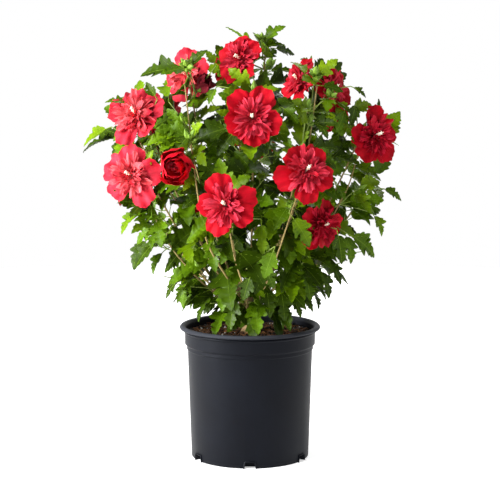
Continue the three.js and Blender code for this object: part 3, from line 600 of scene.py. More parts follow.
class Shoot:
    """One shoot: the line from its foot on the trunk's head, arching out and up to its tip."""

    def __init__(self, index, name, azimuth, reach, height, bare):
        self.index, self.name, self.azimuth, self.bare = index, name, azimuth, bare
        head = np.array((0, 0, TRUNK_HEAD_HEIGHT), float)
        tip = at(azimuth, reach, height)
        chord = np.linalg.norm(tip - head)
        lean = math.atan2(reach, height - TRUNK_HEAD_HEIGHT)
        start = min(lean * ARCH, math.radians(80))
        outward = at(azimuth, math.sin(start), math.cos(start))
        foot = head + outward * (TRUNK_HEAD_RADIUS - 4)
        bend = foot + outward * chord * 0.42
        t = (np.arange(LINE_STEPS + 1) / LINE_STEPS)[:, None]
        self.line = (1 - t) ** 2 * foot + 2 * (1 - t) * t * bend + t ** 2 * tip
        steps = np.linalg.norm(np.diff(self.line, axis=0), axis=1)
        self.lengths = np.concatenate([[0], np.cumsum(steps)])
        self.length = self.lengths[-1]
        self.coarse = self.line[::3]

    def along(self, distance):
        """The point at a distance from the foot, and the line's direction there."""
        d = clamp(distance, 0, self.length)
        i = 0
        while i < LINE_STEPS - 1 and self.lengths[i + 1] < d:
            i += 1
        a, b = self.line[i], self.line[i + 1]
        share = (d - self.lengths[i]) / (self.lengths[i + 1] - self.lengths[i])
        return mix(a, b, share), unit(b - a)


shoots = [Shoot(index, *facts) for index, facts in enumerate(SHOOTS)]
shoot_named = {shoot.name: shoot for shoot in shoots}

blooms = [
    Bloom(shoot_named[name], at(azimuth, radius, height), facing(turn, rise), size, state)
    for name, azimuth, radius, height, turn, rise, size, state in BLOOMS
]
for name in END_BLOOM_SHOOTS:
    grown_on = shoot_named[name]
    face = facing(grown_on.azimuth, END_BLOOM_RISE)
    middle = grown_on.line[-1] + face * END_BLOOM_STAND
    blooms.append(Bloom(grown_on, middle, face, END_BLOOM_RADIUS, "red"))

line_starts = np.array([shoot.coarse[:-1] for shoot in shoots])
line_runs = np.array([np.diff(shoot.coarse, axis=0) for shoot in shoots])
bloom_middles = np.array([bloom.middle for bloom in blooms])
bloom_faces = np.array([bloom.face for bloom in blooms])
bloom_sizes = np.array([bloom.size for bloom in blooms], float)
bloom_shoots = np.array([bloom.shoot.index for bloom in blooms])


def space_distances(points):
    """How far each point is from what each mass grows on: its shoot's line and its blooms."""
    offset = points[:, None, None] - line_starts
    share = (offset * line_runs).sum(-1) / (line_runs ** 2).sum(-1)
    nearest = offset - line_runs * np.clip(share, 0, 1)[..., None]
    distances = np.linalg.norm(nearest, axis=-1).min(-1)
    from_middle = np.linalg.norm(points[:, None] - bloom_middles, axis=-1)
    from_bloom = BLOOM_RIM + BLOOM_HOLD * (from_middle - bloom_sizes)
    for column, index in enumerate(bloom_shoots):
        distances[:, index] = np.minimum(distances[:, index], from_bloom[:, column])
    return distances


def in_own_space(points, shoot):
    distances = space_distances(points)
    own = distances[:, shoot.index] + SPACE_MARGIN
    return (np.delete(distances, shoot.index, axis=1).min(axis=1) > own).all()


def in_crown(p):
    """Inside the crown's outline, which spreads from the rim and rounds over at the top."""
    if p[2] >= CROWN_OUTLINE[-1, 0]:
        return False
    width = np.interp(p[2], *CROWN_OUTLINE.T)
    return p[2] < CROWN_OUTLINE[0, 0] or math.hypot(p[0], p[1]) < width


def clear_of_pot(points):
    """Clear of the mix inside the rim, and above the rim elsewhere."""
    inside = np.hypot(points[:, 0], points[:, 1]) < POT_BAND_RADIUS - POT_WALL - RIM_KEEP_OFF
    return (points[:, 2] > np.where(inside, LEAVES_OVER_MIX, LEAVES_OVER_RIM)).all()


# The bare boughs and the trunk, as points that a leaf keeps off.
limb_points = [
    shoot.along(d)[0] for shoot in shoots for d in range(0, shoot.bare + 3, 4)
] + [np.array((0, 0, z), float) for z in range(MIX_TOP, TRUNK_HEAD_HEIGHT + 20, 4)]
limb_points = np.array(limb_points)


# ---- where the leaves sit ----

def leaf_along(root, blade, roll, length):
    """The upper side looks up and outward, and each blade has its own roll about its midrib."""
    upper = outward_of(root) * 0.75 + UP * 0.7
    upper = turned_about(unit(upper - blade * upper.dot(blade)), blade, roll)
    return Leaf(root, blade, np.cross(upper, blade), upper, length)


def leaf_on_twig(root, direction, turn, luck, length):
    """A leaf that stands off its twig, outward, and droops more the lower it is in the crown."""
    outward = outward_of(root)
    rise = clamp((root[2] - CROWN_BOTTOM) / (CROWN_TOP - CROWN_BOTTOM), 0, 1)
    droop = mix(LOW_DROOP, HIGH_DROOP, rise) + 0.4 * (luck[0] - 0.5)
    grown = length * mix(LOW_LEAF_SHARE, HIGH_LEAF_SHARE, rise)
    blade = unit(sideways(direction, turn) * 0.8 + direction * 0.3 + outward * 0.5 - UP * droop)
    return leaf_along(root, blade, LEAF_ROLL * (2 * luck[1] - 1), grown)


def on_leaf(leaf, share, side):
    """Places on a leaf: shares of its length from the root, and of its half width to one side."""
    along = np.multiply.outer(leaf.length * (1 + PETIOLE_SHARE) * share, leaf.blade)
    aside = np.multiply.outer(leaf.length * LEAF_WIDTH_SHARE * 0.5 * side, leaf.width)
    return leaf.root + along + aside


LEAF_PROBES = np.array([
    (0.25, 0), (0.5, 0), (0.75, 0), (1, 0), (0.52, 1), (0.52, -1), (0.52, 0.5), (0.52, -0.5),
    (0.76, 0.5), (0.76, -0.5), (0.3, 0.5), (0.3, -0.5),
])
LEAF_CORNERS = np.array([
    (0.1, 0), (LOBE_SHARE, 1), (1, 0), (LOBE_SHARE, -1), (0.1, 0), (1, 0),
])

# A leaf that finds no room is turned round its twig, then made smaller.
LEAF_TRIES = [
    (0, 1), (0.8, 1), (-0.8, 1), (1.6, 1), (-1.6, 1), (3.1, 1),
    (0, 0.72), (0.9, 0.72), (-0.9, 0.72), (2, 0.72), (-2, 0.72),
    (0, 0.5), (1.2, 0.5), (-1.2, 0.5),
]
AIMED_TRIES = [
    (1.1, 1), (-1.1, 1), (0.5, 1), (-0.5, 1), (0, 1), (0.9, 0.8), (-0.9, 0.8), (0, 0.8),
]


def half_width(share):
    """A leaf's half width at a share of its length, as a share of the widest."""
    return np.where(share < LOBE_SHARE, share / LOBE_SHARE, (1 - share) / (1 - LOBE_SHARE))


def on_limb(leaf, points, least):
    offset = points - leaf.root
    u, v, w = offset @ leaf.blade, offset @ leaf.width, offset @ leaf.upper
    reach = leaf.length * (1 + PETIOLE_SHARE)
    edge = leaf.length * LEAF_WIDTH_SHARE * 0.5 * half_width(u / reach) + 2
    return ((u > least) & (u < reach + 2) & (abs(v) < edge) & (abs(w) < LIMB_KEEP_OFF)).any()


def from_blooms(places):
    """How far forward of each bloom's plane each place is, and how far out in the bloom's radii."""
    offset = places[:, None] - bloom_middles
    forward = (offset * bloom_faces).sum(-1)
    radial = np.sqrt(np.maximum((offset ** 2).sum(-1) - forward ** 2, 0)) / bloom_sizes
    return forward, radial


def in_bloom(places, chosen=slice(None)):
    """Whether any place is inside one of the chosen blooms, or of all of them."""
    forward, radial = (values[:, chosen] for values in from_blooms(places))
    return ((radial < 0.96) & (forward > -BLOOM_BACK * (1 - radial) - 4)).any()


def leaf_fits(leaf, shoot, own_points):
    places = on_leaf(leaf, *LEAF_PROBES.T)
    if not clear_of_pot(places) or not in_own_space(places, shoot):
        return False
    if in_bloom(places, bloom_shoots == shoot.index):
        return False
    return not on_limb(leaf, limb_points, -3) and not on_limb(leaf, own_points, 6)


def goes_through(leaf, other):
    """Whether an edge of one leaf goes through the blade of another, away from the roots."""
    places = on_leaf(leaf, *LEAF_CORNERS.T) - other.root
    height = places @ other.upper
    a, b = height[:-1], height[1:]
    crossed = a * b <= 0
    if not crossed.any():
        return False
    share = (a[crossed] / (a[crossed] - b[crossed] + 1e-12))[:, None]
    x = mix(places[:-1][crossed], places[1:][crossed], share)
    along = x @ other.blade / (other.length * (1 + PETIOLE_SHARE))
    side = x @ other.width / (other.length * LEAF_WIDTH_SHARE * 0.5)
    return ((along > 0.05) & (abs(side) < half_width(along) + 0.06)).any()


def crosses_any(leaf, others):
    reach = leaf.length * (1 + PETIOLE_SHARE)
    for old in others:
        apart = np.linalg.norm(old.root - leaf.root)
        if apart < reach + old.length * (1 + PETIOLE_SHARE):
            if goes_through(leaf, old) or goes_through(old, leaf):
                return True
    return False


# ---- growing one mass ----

class Mass:
    """What grows on one shoot: its limbs, its leaves, its buds and the stalks of its blooms."""

    def __init__(self, shoot):
        self.shoot = shoot
        self.limbs = []  # points, foot radius, tip radius, kind
        self.leaves = []  # leaf, spray
        self.buds = []  # middle, axis, size
        self.own_points = []
        self.wanted = []
        self.sprays = 0
        self.chance = Chance(SEED + shoot.index)
        self.grow()

    def add_limb(self, points, foot_radius, tip_radius, kind):
        self.limbs.append((points, foot_radius, tip_radius, kind))
        for a, b in zip(points, points[1:]):
            count = math.ceil(np.linalg.norm(b - a) / 5)
            self.own_points += [mix(a, b, k / count) for k in range(count)]

    def want_leaf(self, root, direction, turn, length):
        luck = (self.chance(), self.chance())
        size = length * (0.85 + 0.3 * self.chance())
        self.wanted.append((self.sprays, root, direction, turn, luck, size))

    def on_stem(self, distance):
        share = clamp((distance - self.start) / self.stem_length, 0, 1) * self.steps
        i = min(int(share), self.steps - 1)
        a, b = self.stem[i], self.stem[i + 1]
        return mix(a, b, share - i), unit(b - a)

    def nearest_on_stem(self, target):
        best, least = self.start, math.inf
        d = self.start
        while d <= self.shoot.length:
            apart = np.linalg.norm(self.on_stem(d)[0] - target)
            if apart < least:
                best, least = d, apart
            d += 4
        return best

    def add_twig(self, root, direction, turn, length):
        aside = sideways(direction, turn)
        way = unit(direction * math.cos(TWIG_ANGLE) + aside * math.sin(TWIG_ANGLE))
        reach = length * mix(0.6, 1, clamp(0.5 + 0.5 * way.dot(outward_of(root)), 0, 1))

        def place_at(distance):
            return root + way * distance + UP * (0.12 * distance * distance / length)

        while reach > NODE_SPACING:
            probes = np.array([place_at(reach * share) for share in (0.35, 0.7, 1)])
            if clear_of_pot(probes) and in_own_space(probes, self.shoot):
                break
            reach -= 12
        if reach <= NODE_SPACING:
            return False
        middle, tip = place_at(reach * 0.5), place_at(reach)
        self.add_limb([root, middle, tip], 1.15, 0.7, "twig")
        self.sprays += 1
        nodes = int(reach // NODE_SPACING)
        for k in range(1, nodes + 1):
            share = k / (nodes + 0.35)
            a, b = (root, middle) if share < 0.5 else (middle, tip)
            point = mix(a, b, share * 2 if share < 0.5 else share * 2 - 1)
            self.want_leaf(point, way, turn + k * math.pi, LEAF_LENGTH * mix(1.05, 0.85, share))
        for side in (0.3, -0.45):
            self.want_leaf(mix(tip, middle, 0.03), way, turn + side * math.pi, LEAF_LENGTH * 0.8)
        return True

    def grow(self):
        """Grows what the mass holds. The steps draw from one stream of chance, in this order."""
        self.grow_stem()
        self.grow_bloom_stalks()
        self.grow_aimed_leaves()
        first_turn = self.chance() * 2 * math.pi
        self.grow_side_twigs(first_turn)
        self.grow_tip(first_turn)
        self.place_leaves()

    def grow_stem(self):
        shoot = self.shoot
        self.start = shoot.bare + STEM_GAP
        self.stem_length = shoot.length - self.start
        self.steps = max(3, math.floor(self.stem_length / 60 + 0.5))
        self.stem = [
            shoot.along(self.start + self.stem_length * i / self.steps)[0]
            for i in range(self.steps + 1)
        ]
        self.add_limb(self.stem, 1.9, 1.1, "stem")

    def grow_bloom_stalks(self):
        for bloom in blooms:
            if bloom.shoot is not self.shoot:
                continue
            back = BLOOM_BACK - 4 if bloom.state in OPEN_STATES else bloom.size * 0.5
            end = bloom.middle - bloom.face * back
            foot = self.on_stem(max(self.start + 4, self.nearest_on_stem(end) - 14))[0]
            self.add_limb([foot, end], 1.1, 1.5, "stalk")

    def grow_aimed_leaves(self):
        """The aimed leaves, each on a twig of its own where it is further off than it is long."""
        for name, azimuth, radius, height, *down in AIMED_LEAVES:
            if name != self.shoot.name:
                continue
            target = at(azimuth, radius, height)
            nearest = self.nearest_on_stem(target) - (down[0] if down else 16)
            foot = self.on_stem(max(self.start + 2, nearest))[0]
            span = np.linalg.norm(target - foot)
            blade = unit(target - foot)
            full = min(span, LEAF_LENGTH * (1 + PETIOLE_SHARE))
            root = foot + blade * (span - full)
            self.sprays += 1
            self.wanted.append((self.sprays, root, blade, None, None, full / (1 + PETIOLE_SHARE)))
            if span - full < 4:
                continue
            self.add_limb([foot, root + blade * 0.5], 1.15, 0.7, "twig")
            self.want_leaf(root, blade, 0, LEAF_LENGTH * 0.85)
            self.want_leaf(root, blade, math.pi, LEAF_LENGTH * 0.85)

    def grow_side_twigs(self, first_turn):
        """A twig or a leaf at each node of the stem, by turns."""
        spacing = SKIRT_SPACING if self.shoot.bare < SKIRT_BARE else NODE_SPACING
        nodes = math.floor((self.stem_length - 8) / spacing)
        for k in range(nodes):
            share = k / nodes
            turn = first_turn + k * GOLDEN_ANGLE
            length = TWIG_LENGTH * mix(1, 0.5, share) * (0.85 + 0.3 * self.chance())
            point, direction = self.on_stem(self.start + 6 + k * spacing)
            if k % 2 == 1 and share < 0.85 and self.add_twig(point, direction, turn, length):
                continue
            self.sprays += 1
            self.want_leaf(point, direction, turn, LEAF_LENGTH * mix(1.1, 0.9, share))

    def grow_tip(self, first_turn):
        point, direction = self.on_stem(self.shoot.length)
        self.sprays += 1
        self.tip_spray = self.sprays
        for k in range(4):
            root = point - direction * (1 + 4 * k)
            self.want_leaf(root, direction, first_turn + 1 + k * GOLDEN_ANGLE, LEAF_LENGTH * 0.78)
        self.buds.append((point + direction * 4, direction, TIP_BUD_SIZE))

    def place_leaves(self):
        """Gives each wanted leaf the first of its tries that fits, if there is one."""
        own_points = np.array(self.own_points)
        placed = []
        for spray, root, direction, turn, luck, length in self.wanted:
            if turn is None:
                tries = [
                    leaf_along(root, direction, roll, length * share) for roll, share in AIMED_TRIES
                ]
            else:
                tries = [
                    leaf_on_twig(root, direction, turn + shift, luck, length * share)
                    for shift, share in LEAF_TRIES
                ]
                tries = [leaf for leaf in tries if in_crown(on_leaf(leaf, 1.0, 0.0))]
            for leaf in tries:
                if leaf_fits(leaf, self.shoot, own_points) and not crosses_any(leaf, placed):
                    placed.append(leaf)
                    self.leaves.append((leaf, spray))
                    break


masses = [Mass(shoot) for shoot in shoots]


# ---- finer twigs and leaves between those of the solids ----

FINE_LEAF_LENGTH = 48
FINE_SPACING = 13
FINE_NEAR = 260  # how far from the middle of a shoot its fine leaves may meet others
FINE_SHOOT_CHANCE = 0.45
FINE_BUD_CHANCE = 0.3
FINE_TRIES = 5
FINE_REACH = 0.93  # of the crown's own, so that the outline stays the coarse leaves'
STEM_SIGHT = 5  # how far a leaf keeps to the side of an open stem


def smooth_path(places, step=7):
    """An even path through places, rounded at each of them."""
    places = np.array(places, float)
    ghost = np.concatenate([[2 * places[0] - places[1]], places, [2 * places[-1] - places[-2]]])
    path = []
    for p0, p1, p2, p3 in zip(ghost, ghost[1:], ghost[2:], ghost[3:]):
        count = max(2, int(np.linalg.norm(p2 - p1) / step))
        for t in np.arange(count) / count:
            path.append(0.5 * (2 * p1 + (p2 - p0) * t + (2 * p0 - 5 * p1 + 4 * p2 - p3) * t * t
                               + (3 * p1 - p0 - 3 * p2 + p3) * t ** 3))
    return np.array(path + [places[-1]])


trunk_head = np.array((0, 0, TRUNK_HEAD_HEIGHT + 6), float)
open_stems = [
    smooth_path([trunk_head] + [at(*place) for place in places]) for _, _, places in OPEN_STEMS
]
shown = np.concatenate([
    path[int(len(path) * start):int(len(path) * end)]
    for path, (start, end, _) in zip(open_stems, OPEN_STEMS)
])


def hides_stem(places):
    """Whether any place is in front of the part of an open stem that shows."""
    beside = np.hypot(places[:, None, 0] - shown[:, 0], places[:, None, 2] - shown[:, 2])
    return ((beside < STEM_SIGHT) & (places[:, None, 1] < shown[:, 1])).any()


for mass in masses:
    mass.leaves = [
        (leaf, spray) for leaf, spray in mass.leaves
        if not hides_stem(on_leaf(leaf, *LEAF_PROBES.T))
    ]
all_leaves = [leaf for mass in masses for leaf, _ in mass.leaves]


def fine_fits(leaf, near):
    """The looser test of a fine leaf, which may reach across into a neighbour's space."""
    places = on_leaf(leaf, *LEAF_PROBES.T)
    if not clear_of_pot(places) or in_bloom(places) or hides_stem(places):
        return False
    if not in_crown(places[3] * (1 / FINE_REACH, 1 / FINE_REACH, 1)):
        return False
    return not on_limb(leaf, limb_points, 4) and not crosses_any(leaf, near)


def kept_share(root):
    """The share of the fine leaves that stay: fewer round the low outside, which is open."""
    low_outside = math.hypot(root[0], root[1]) > 120 and root[2] < 500
    return 0.4 if low_outside else 0.55


def grow_fine(mass):
    """Short side shoots in the leaves' axils and small leaves along the limbs."""
    chance = Chance(SEED + 500 + mass.shoot.index)
    here = mass.shoot.line[LINE_STEPS // 2 + 2]
    near = [leaf for leaf in all_leaves if np.linalg.norm(leaf.root - here) < FINE_NEAR]
    grown = []

    def try_leaf(root, direction, turn, length):
        for _ in range(FINE_TRIES):
            luck = (chance(), chance())
            size = length * (0.8 + 0.5 * chance())
            leaf = leaf_on_twig(root, direction, turn + 2.2 * (chance() - 0.5), luck, size)
            if fine_fits(leaf, near):
                near.append(leaf)
                grown.append((leaf, mass.sprays))
                return True
        return False

    def side_shoot(root, direction, turn):
        """A short twig with up to three leaves, and sometimes a bud at its tip."""
        way = unit(direction * 0.7 + sideways(direction, turn) * 0.7 + UP * 0.25)
        tip = root + way * (10 + 16 * chance())
        if not clear_of_pot(tip[None]) or in_bloom(tip[None]):
            return
        grew = False
        for share, step in ((0.6, 0.4), (0.97, 2.4), (0.99, 4.4)):
            grew |= try_leaf(mix(root, tip, share), way, turn + step, FINE_LEAF_LENGTH)
        if grew:
            mass.limbs.append(([root, mix(root, tip, 0.5) + UP, tip], 0.8, 0.5, "twig"))
            if chance() < FINE_BUD_CHANCE:
                mass.buds.append((tip + way * 3, way, 3.2 + 1.4 * chance()))

    for points, _, _, kind in list(mass.limbs):
        if kind == "stalk":
            continue
        for a, b in zip(points, points[1:]):
            direction = unit(b - a)
            length = np.linalg.norm(b - a)
            for k in range(int(length // FINE_SPACING)):
                mass.sprays += 1
                root = mix(a, b, (k + 0.3 + 0.4 * chance()) * FINE_SPACING / length)
                turn = chance() * 2 * math.pi
                if chance() < FINE_SHOOT_CHANCE:
                    side_shoot(root, direction, turn)
                else:
                    try_leaf(root, direction, turn, FINE_LEAF_LENGTH * 1.2)
    kept = [pair for pair in grown if chance() < kept_share(pair[0].root)]
    mass.leaves += kept
    all_leaves.extend(leaf for leaf, _ in kept)


for mass in masses:
    grow_fine(mass)


GAP_PROBES = np.array([(0.45, 0), (0.6, 0), (0.75, 0), (0.6, 0.5), (0.6, -0.5)])


def in_sky_gap(leaf):
    """Whether the middle of a leaf's blade shows in one of the open spots."""
    places = on_leaf(leaf, *GAP_PROBES.T)
    eye, distance = CAMERA_HEIGHT / MM, CAMERA_DISTANCE / MM
    nearer = distance / (distance + places[:, 1])
    across, height = places[:, 0] * nearer, eye + (places[:, 2] - eye) * nearer
    apart = np.hypot(across[:, None] - SKY_GAPS[:, 0], height[:, None] - SKY_GAPS[:, 1])
    return (apart < SKY_GAPS[:, 2]).any()


FRONT_LIGHT = np.array((0, -1.0, 0.15))
FRONT_PULL = ((290, 360, 560, 640), (0.5, 1.3, 1.2, 0.3))  # heights, and how far leaves there turn


def turned_to_light(leaf):
    """The leaf turned on its stalk: half of its roll is taken back, and in front of the middle it
    also turns towards the front, where the plant has stood in the light."""
    level = leaf_along(leaf.root, leaf.blade, 0.0, leaf.length)
    pull = clamp(0.8 - leaf.root[1] / 150, 0, 1) * np.interp(leaf.root[2], *FRONT_PULL)
    upper = leaf.upper + level.upper + FRONT_LIGHT * pull
    upper = unit(upper - leaf.blade * upper.dot(leaf.blade))
    return leaf._replace(upper=upper, width=np.cross(upper, leaf.blade))


PETAL_REACH = 16  # mm that petals stand forward of a bloom's middle
PETAL_HANG = 6  # mm that a leaf's tip may hang below its flat place


def pokes_petals(leaf):
    """Whether the leaf, once turned to the light, comes through the petals of a bloom."""
    leaf = turned_to_light(leaf)
    places = on_leaf(leaf, *LEAF_PROBES.T)
    places = np.concatenate([places, places - UP * PETAL_HANG])
    forward, radial = from_blooms(places)
    behind = forward < -BLOOM_BACK * (1 - radial) - 3
    return ((radial < 1) & ~behind & (forward < PETAL_REACH)).any()


for mass in masses:
    mass.leaves = [
        (leaf, spray) for leaf, spray in mass.leaves
        if not in_sky_gap(leaf) and not pokes_petals(leaf)
    ]


def nearest_limb(target):
    """The place on any mass's limbs that is nearest to a target, and the mass."""
    best = min(masses, key=lambda mass: np.linalg.norm(mass.own_points - target, axis=1).min())
    return best, best.own_points[np.linalg.norm(best.own_points - target, axis=1).argmin()]


CLUSTER_LEAF_LENGTH = 40


def grow_clusters():
    """Twigs that end in buds, and the leaves that stand round them."""
    chance = Chance(SEED + 900)
    for azimuth, radius, height, count, size in BUD_CLUSTERS:
        target = at(azimuth, radius, height)
        mass, foot = nearest_limb(target - UP * 30)
        middle = mix(foot, target, 0.55) + UP * 4
        mass.limbs.append(([foot, middle, target], 1.2, 0.8, "twig"))
        way = unit(target - middle)
        for k in range(count):
            lean = 0.0 if k == 0 else 0.75 + 0.3 * chance()
            axis = unit(way + sideways(way, k * GOLDEN_ANGLE) * lean)
            root = target - way * 3.0 * (k % 4)
            grown = size * (0.72 + 0.5 * chance())
            mass.buds.append((root + axis * grown * 2.1, axis, grown))
            stalk = [root, root + axis * grown, root + axis * grown * 1.2]
            mass.limbs.append((stalk, 0.8, 0.8, "twig"))
        mass.sprays += 1
        for k in range(4):
            turn, luck = k * GOLDEN_ANGLE + 1, (chance(), chance())
            leaf = leaf_on_twig(target - way * (6 + 5 * k), way, turn, luck, CLUSTER_LEAF_LENGTH)
            places = on_leaf(leaf, *LEAF_PROBES.T)
            if not in_bloom(places) and not hides_stem(places):
                mass.leaves.append((leaf, mass.sprays))


def grow_open_leaves():
    for tip, foot in OPEN_LEAVES:
        tip, foot = at(*tip), at(*foot)
        mass, limb_foot = nearest_limb(foot)
        if np.linalg.norm(foot - limb_foot) > 3:
            twig = [limb_foot, mix(limb_foot, foot, 0.5) + UP, foot]
            mass.limbs.append((twig, 1.1, 0.8, "twig"))
        reach = np.linalg.norm(tip - foot)
        leaf = leaf_along(foot, unit(tip - foot), 0.3, reach / (1 + PETIOLE_SHARE))
        mass.sprays += 1
        mass.leaves.append((leaf, mass.sprays))


for mass in masses:
    mass.own_points = np.array([p for p in mass.own_points if not in_bloom(p[None])])
grow_clusters()
grow_open_leaves()


# ---- leaves ----

# The right-hand margin of a toothed leaf, from its base to its tip: the shares of its length and
# of its half width. Teeth and hollows take turns. A leaf's own is a mix of the two forms.
LOBED_MARGIN = np.array([
    (0.00, 0.07), (0.02, 0.30), (0.10, 0.52), (0.17, 0.60), (0.22, 0.84), (0.27, 0.92),
    (0.30, 0.80), (0.37, 0.99), (0.45, 1.12), (0.49, 1.04), (0.50, 0.78), (0.45, 0.50),
    (0.50, 0.38), (0.57, 0.48), (0.64, 0.68), (0.69, 0.66), (0.70, 0.50), (0.78, 0.53),
    (0.83, 0.46), (0.85, 0.31), (0.93, 0.23), (1.00, 0.03),
])
BROAD_MARGIN = np.array([
    (0.00, 0.07), (0.02, 0.36), (0.08, 0.62), (0.14, 0.70), (0.20, 0.92), (0.25, 0.98),
    (0.28, 0.86), (0.36, 0.98), (0.42, 1.03), (0.46, 0.96), (0.49, 0.79), (0.51, 0.75),
    (0.54, 0.74), (0.59, 0.80), (0.64, 0.78), (0.66, 0.70), (0.68, 0.54), (0.76, 0.54),
    (0.80, 0.47), (0.83, 0.30), (0.91, 0.23), (1.00, 0.02),
])
RIB_FOLD = 0.024


def leaf_template(margin):
    """A blade's shares along and across, and the height of the ribbing, as a grid of 5 columns."""
    count = len(margin)
    middle = np.linspace(0, 1, count)
    ribbing = np.where(np.arange(count) % 2 == 0, RIB_FOLD, -RIB_FOLD)
    columns = []
    for side in (-1, -0.5, 0, 0.5, 1):
        u = mix(middle, margin[:, 0], abs(side))
        v = margin[:, 1] * side
        columns.append(np.stack([u, v, ribbing * (1 - abs(abs(side) - 0.5) * 2)], axis=1))
    return np.stack(columns, axis=1).reshape(-1, 3)


def vein_template():
    """The petiole that runs on as the midrib, and the two side ribs: shares and millimetres."""
    rows = []
    faces = []

    def rib(stations, radii):
        start = len(rows)
        for (u, v), radius in zip(stations, radii):
            for turn in (90, 210, 330):
                turn = math.radians(turn)
                rows.append((u, v, radius * math.cos(turn), radius * math.sin(turn)))
        faces.extend(grid_faces(len(stations), 3, closed=True) + start)

    midrib = (-PETIOLE_SHARE, -0.12, 0, 0.25, 0.5, 0.75, 0.93)
    rib([(u, 0) for u in midrib], [1.0, 0.85, 0.8, 0.6, 0.5, 0.38, 0.22])
    for side in (-1, 1):
        rib([(0.01, 0), (0.25, side * 0.45), (0.47, side * 0.9)], [0.5, 0.4, 0.2])
    return np.array(rows), np.array(faces)


def leaf_points(leaves, lucks, u, v, across_mm=0.0, height_mm=0.0, ribbing=0.0):
    """Every leaf's points, from places on the flat leaf. Each arches, folds and waves by its luck,
    and hangs from its stalk, the more the lower it is."""
    leaves = [turned_to_light(leaf) for leaf in leaves]
    root, blade, width, upper = (np.array([leaf[i] for leaf in leaves])[:, None] for i in range(4))
    length = np.array([leaf.length for leaf in leaves])[:, None]
    arch, fold, wave, phase = (lucks[:, i:i + 1] for i in range(4))
    share = (u + PETIOLE_SHARE) / (1 + PETIOLE_SHARE)
    bend = (0.16 + 0.5 * arch) * share * (1 - share)
    valley = (0.03 + 0.15 * fold) * abs(v) ** 1.4
    flutter = (0.015 + 0.035 * wave) * v * abs(v) * np.sin(9 * u + 6.28 * phase)
    droop = -0.07 * wave * v ** 2 * u
    along = length * (u + PETIOLE_SHARE)
    aside = length * LEAF_WIDTH_SHARE * 0.5 * v * (1 - 0.06 * fold) + across_mm
    height = length * (bend + valley + flutter + droop + ribbing) + height_mm
    hang = np.interp(root[..., 2], (CROWN_BOTTOM, CROWN_TOP), (0.4, 0.06))
    sag = length * hang * (0.6 + 0.8 * fold) * (1 - abs(blade[..., 2])) * share ** 2
    along = along - 0.3 * sag * share
    return (root + along[..., None] * blade + aside[..., None] * width + height[..., None] * upper
            - sag[..., None] * UP)


def leaf_material(name, colour, dark_colour, roughness=0.42):
    """A living leaf: a waxy cuticle over green, a little mottled, with a fine network of veins."""
    return dappled(
        name, {"Scale": 34.0, "Detail": 3.0}, ((0.3, dark_colour), (0.68, colour)),
        {"Strength": 0.25, "Distance": 0.0004},
        {"Roughness": roughness, "IOR": 1.42, "Specular IOR Level": 0.18},
        # The network's cells are 2.2 mm across.
        relief=("ShaderNodeTexVoronoi", {"feature": "DISTANCE_TO_EDGE", "Scale": 450.0}),
    )[0]


# Young and mature are the leaves' own greens; bright is painted light, a lit copy of mature, and
# the darker shaded one is painted shade.
LEAF_SHADES = {
    "mature": leaf_material("mature_leaf", "#547404", "#3E5A02"),
    "bright": leaf_material("painted_light_leaf", "#688604", "#507002"),
    "painted_shade": leaf_material("painted_shade_leaf", "#3C5404", "#2A3E02"),
    "young": leaf_material("young_leaf", "#74900C", "#5E7A06", 0.38),
}


def shade_of(mass, leaf, spray):
    """The green that a spray has: young at the tips, a darker green inside the crown and low down,
    which is painted shade, and a mix of the rest, where a brighter green, which is painted light,
    comes the more often the higher the leaf.
    """
    luck = Chance(SEED + 37 * mass.shoot.index + 11 * spray)()
    tip = on_leaf(leaf, 1.0, 0.0)
    outer = math.hypot(tip[0], tip[1]) / np.interp(tip[2], *CROWN_OUTLINE.T)
    if spray == mass.tip_spray:
        return "young" if luck < 0.6 else "bright"
    if leaf.length < 46 and tip[2] > 420 and luck < 0.4:
        return "young"
    # Painted shade: a leaf inside the crown or low down mostly gets the darker green.
    if outer < 0.6 or tip[2] < 300:
        return "painted_shade" if luck < 0.7 else "mature"
    # Painted light: the higher the tip, the likelier the brighter, lit green.
    if luck < np.interp(tip[2], (300, 450), (0.12, 0.42)):
        return "bright"
    return "painted_shade" if luck > 0.75 else "mature"


foliage_nodes = ["foliage_" + shoot.name for shoot in shoots]


def make_leaves():
    lobed, broad = leaf_template(LOBED_MARGIN), leaf_template(BROAD_MARGIN)
    blade_faces = grid_faces(len(LOBED_MARGIN), 5)
    veins, vein_faces = vein_template()
    stalks = Part()
    by_shade = {shade: [] for shade in LEAF_SHADES}
    for mass in masses:
        for leaf, spray in mass.leaves:
            by_shade[shade_of(mass, leaf, spray)].append(leaf)
    rng = np.random.default_rng(SEED)
    for shade, leaves in by_shade.items():
        lucks = rng.random((len(leaves), 4))
        part = Part()
        form = mix(lobed, broad, 0.65 * rng.random((len(leaves), 1, 1)) ** 2)
        blades = leaf_points(leaves, lucks, form[..., 0], form[..., 1], ribbing=form[..., 2])
        for points in blades:
            part.add(points, blade_faces)
        finished("leaves_" + shade, part, LEAF_SHADES[shade], foliage_nodes)
        ribs = leaf_points(leaves, lucks, veins[None, :, 0], veins[None, :, 1],
                           across_mm=veins[None, :, 2], height_mm=veins[None, :, 3])
        for points in ribs:
            stalks.add(points, vein_faces)
    pale = leaf_material("leaf_stalk", "#7E9A2C", "#66841E")
    finished("leaf_stalks_and_ribs", stalks, pale)


# ---- blooms and buds ----

class Seat:
    """Where a bloom or bud sits: its middle, the way it faces and the directions round that."""

    def __init__(self, middle, face, turn=0.0):
        self.middle, self.face = middle, face
        self.across = sideways(face, turn)
        self.other = np.cross(face, self.across)

    def away(self, turn):
        """The direction out from the middle at a turn round the face."""
        return self.across * math.cos(turn) + self.other * math.sin(turn)


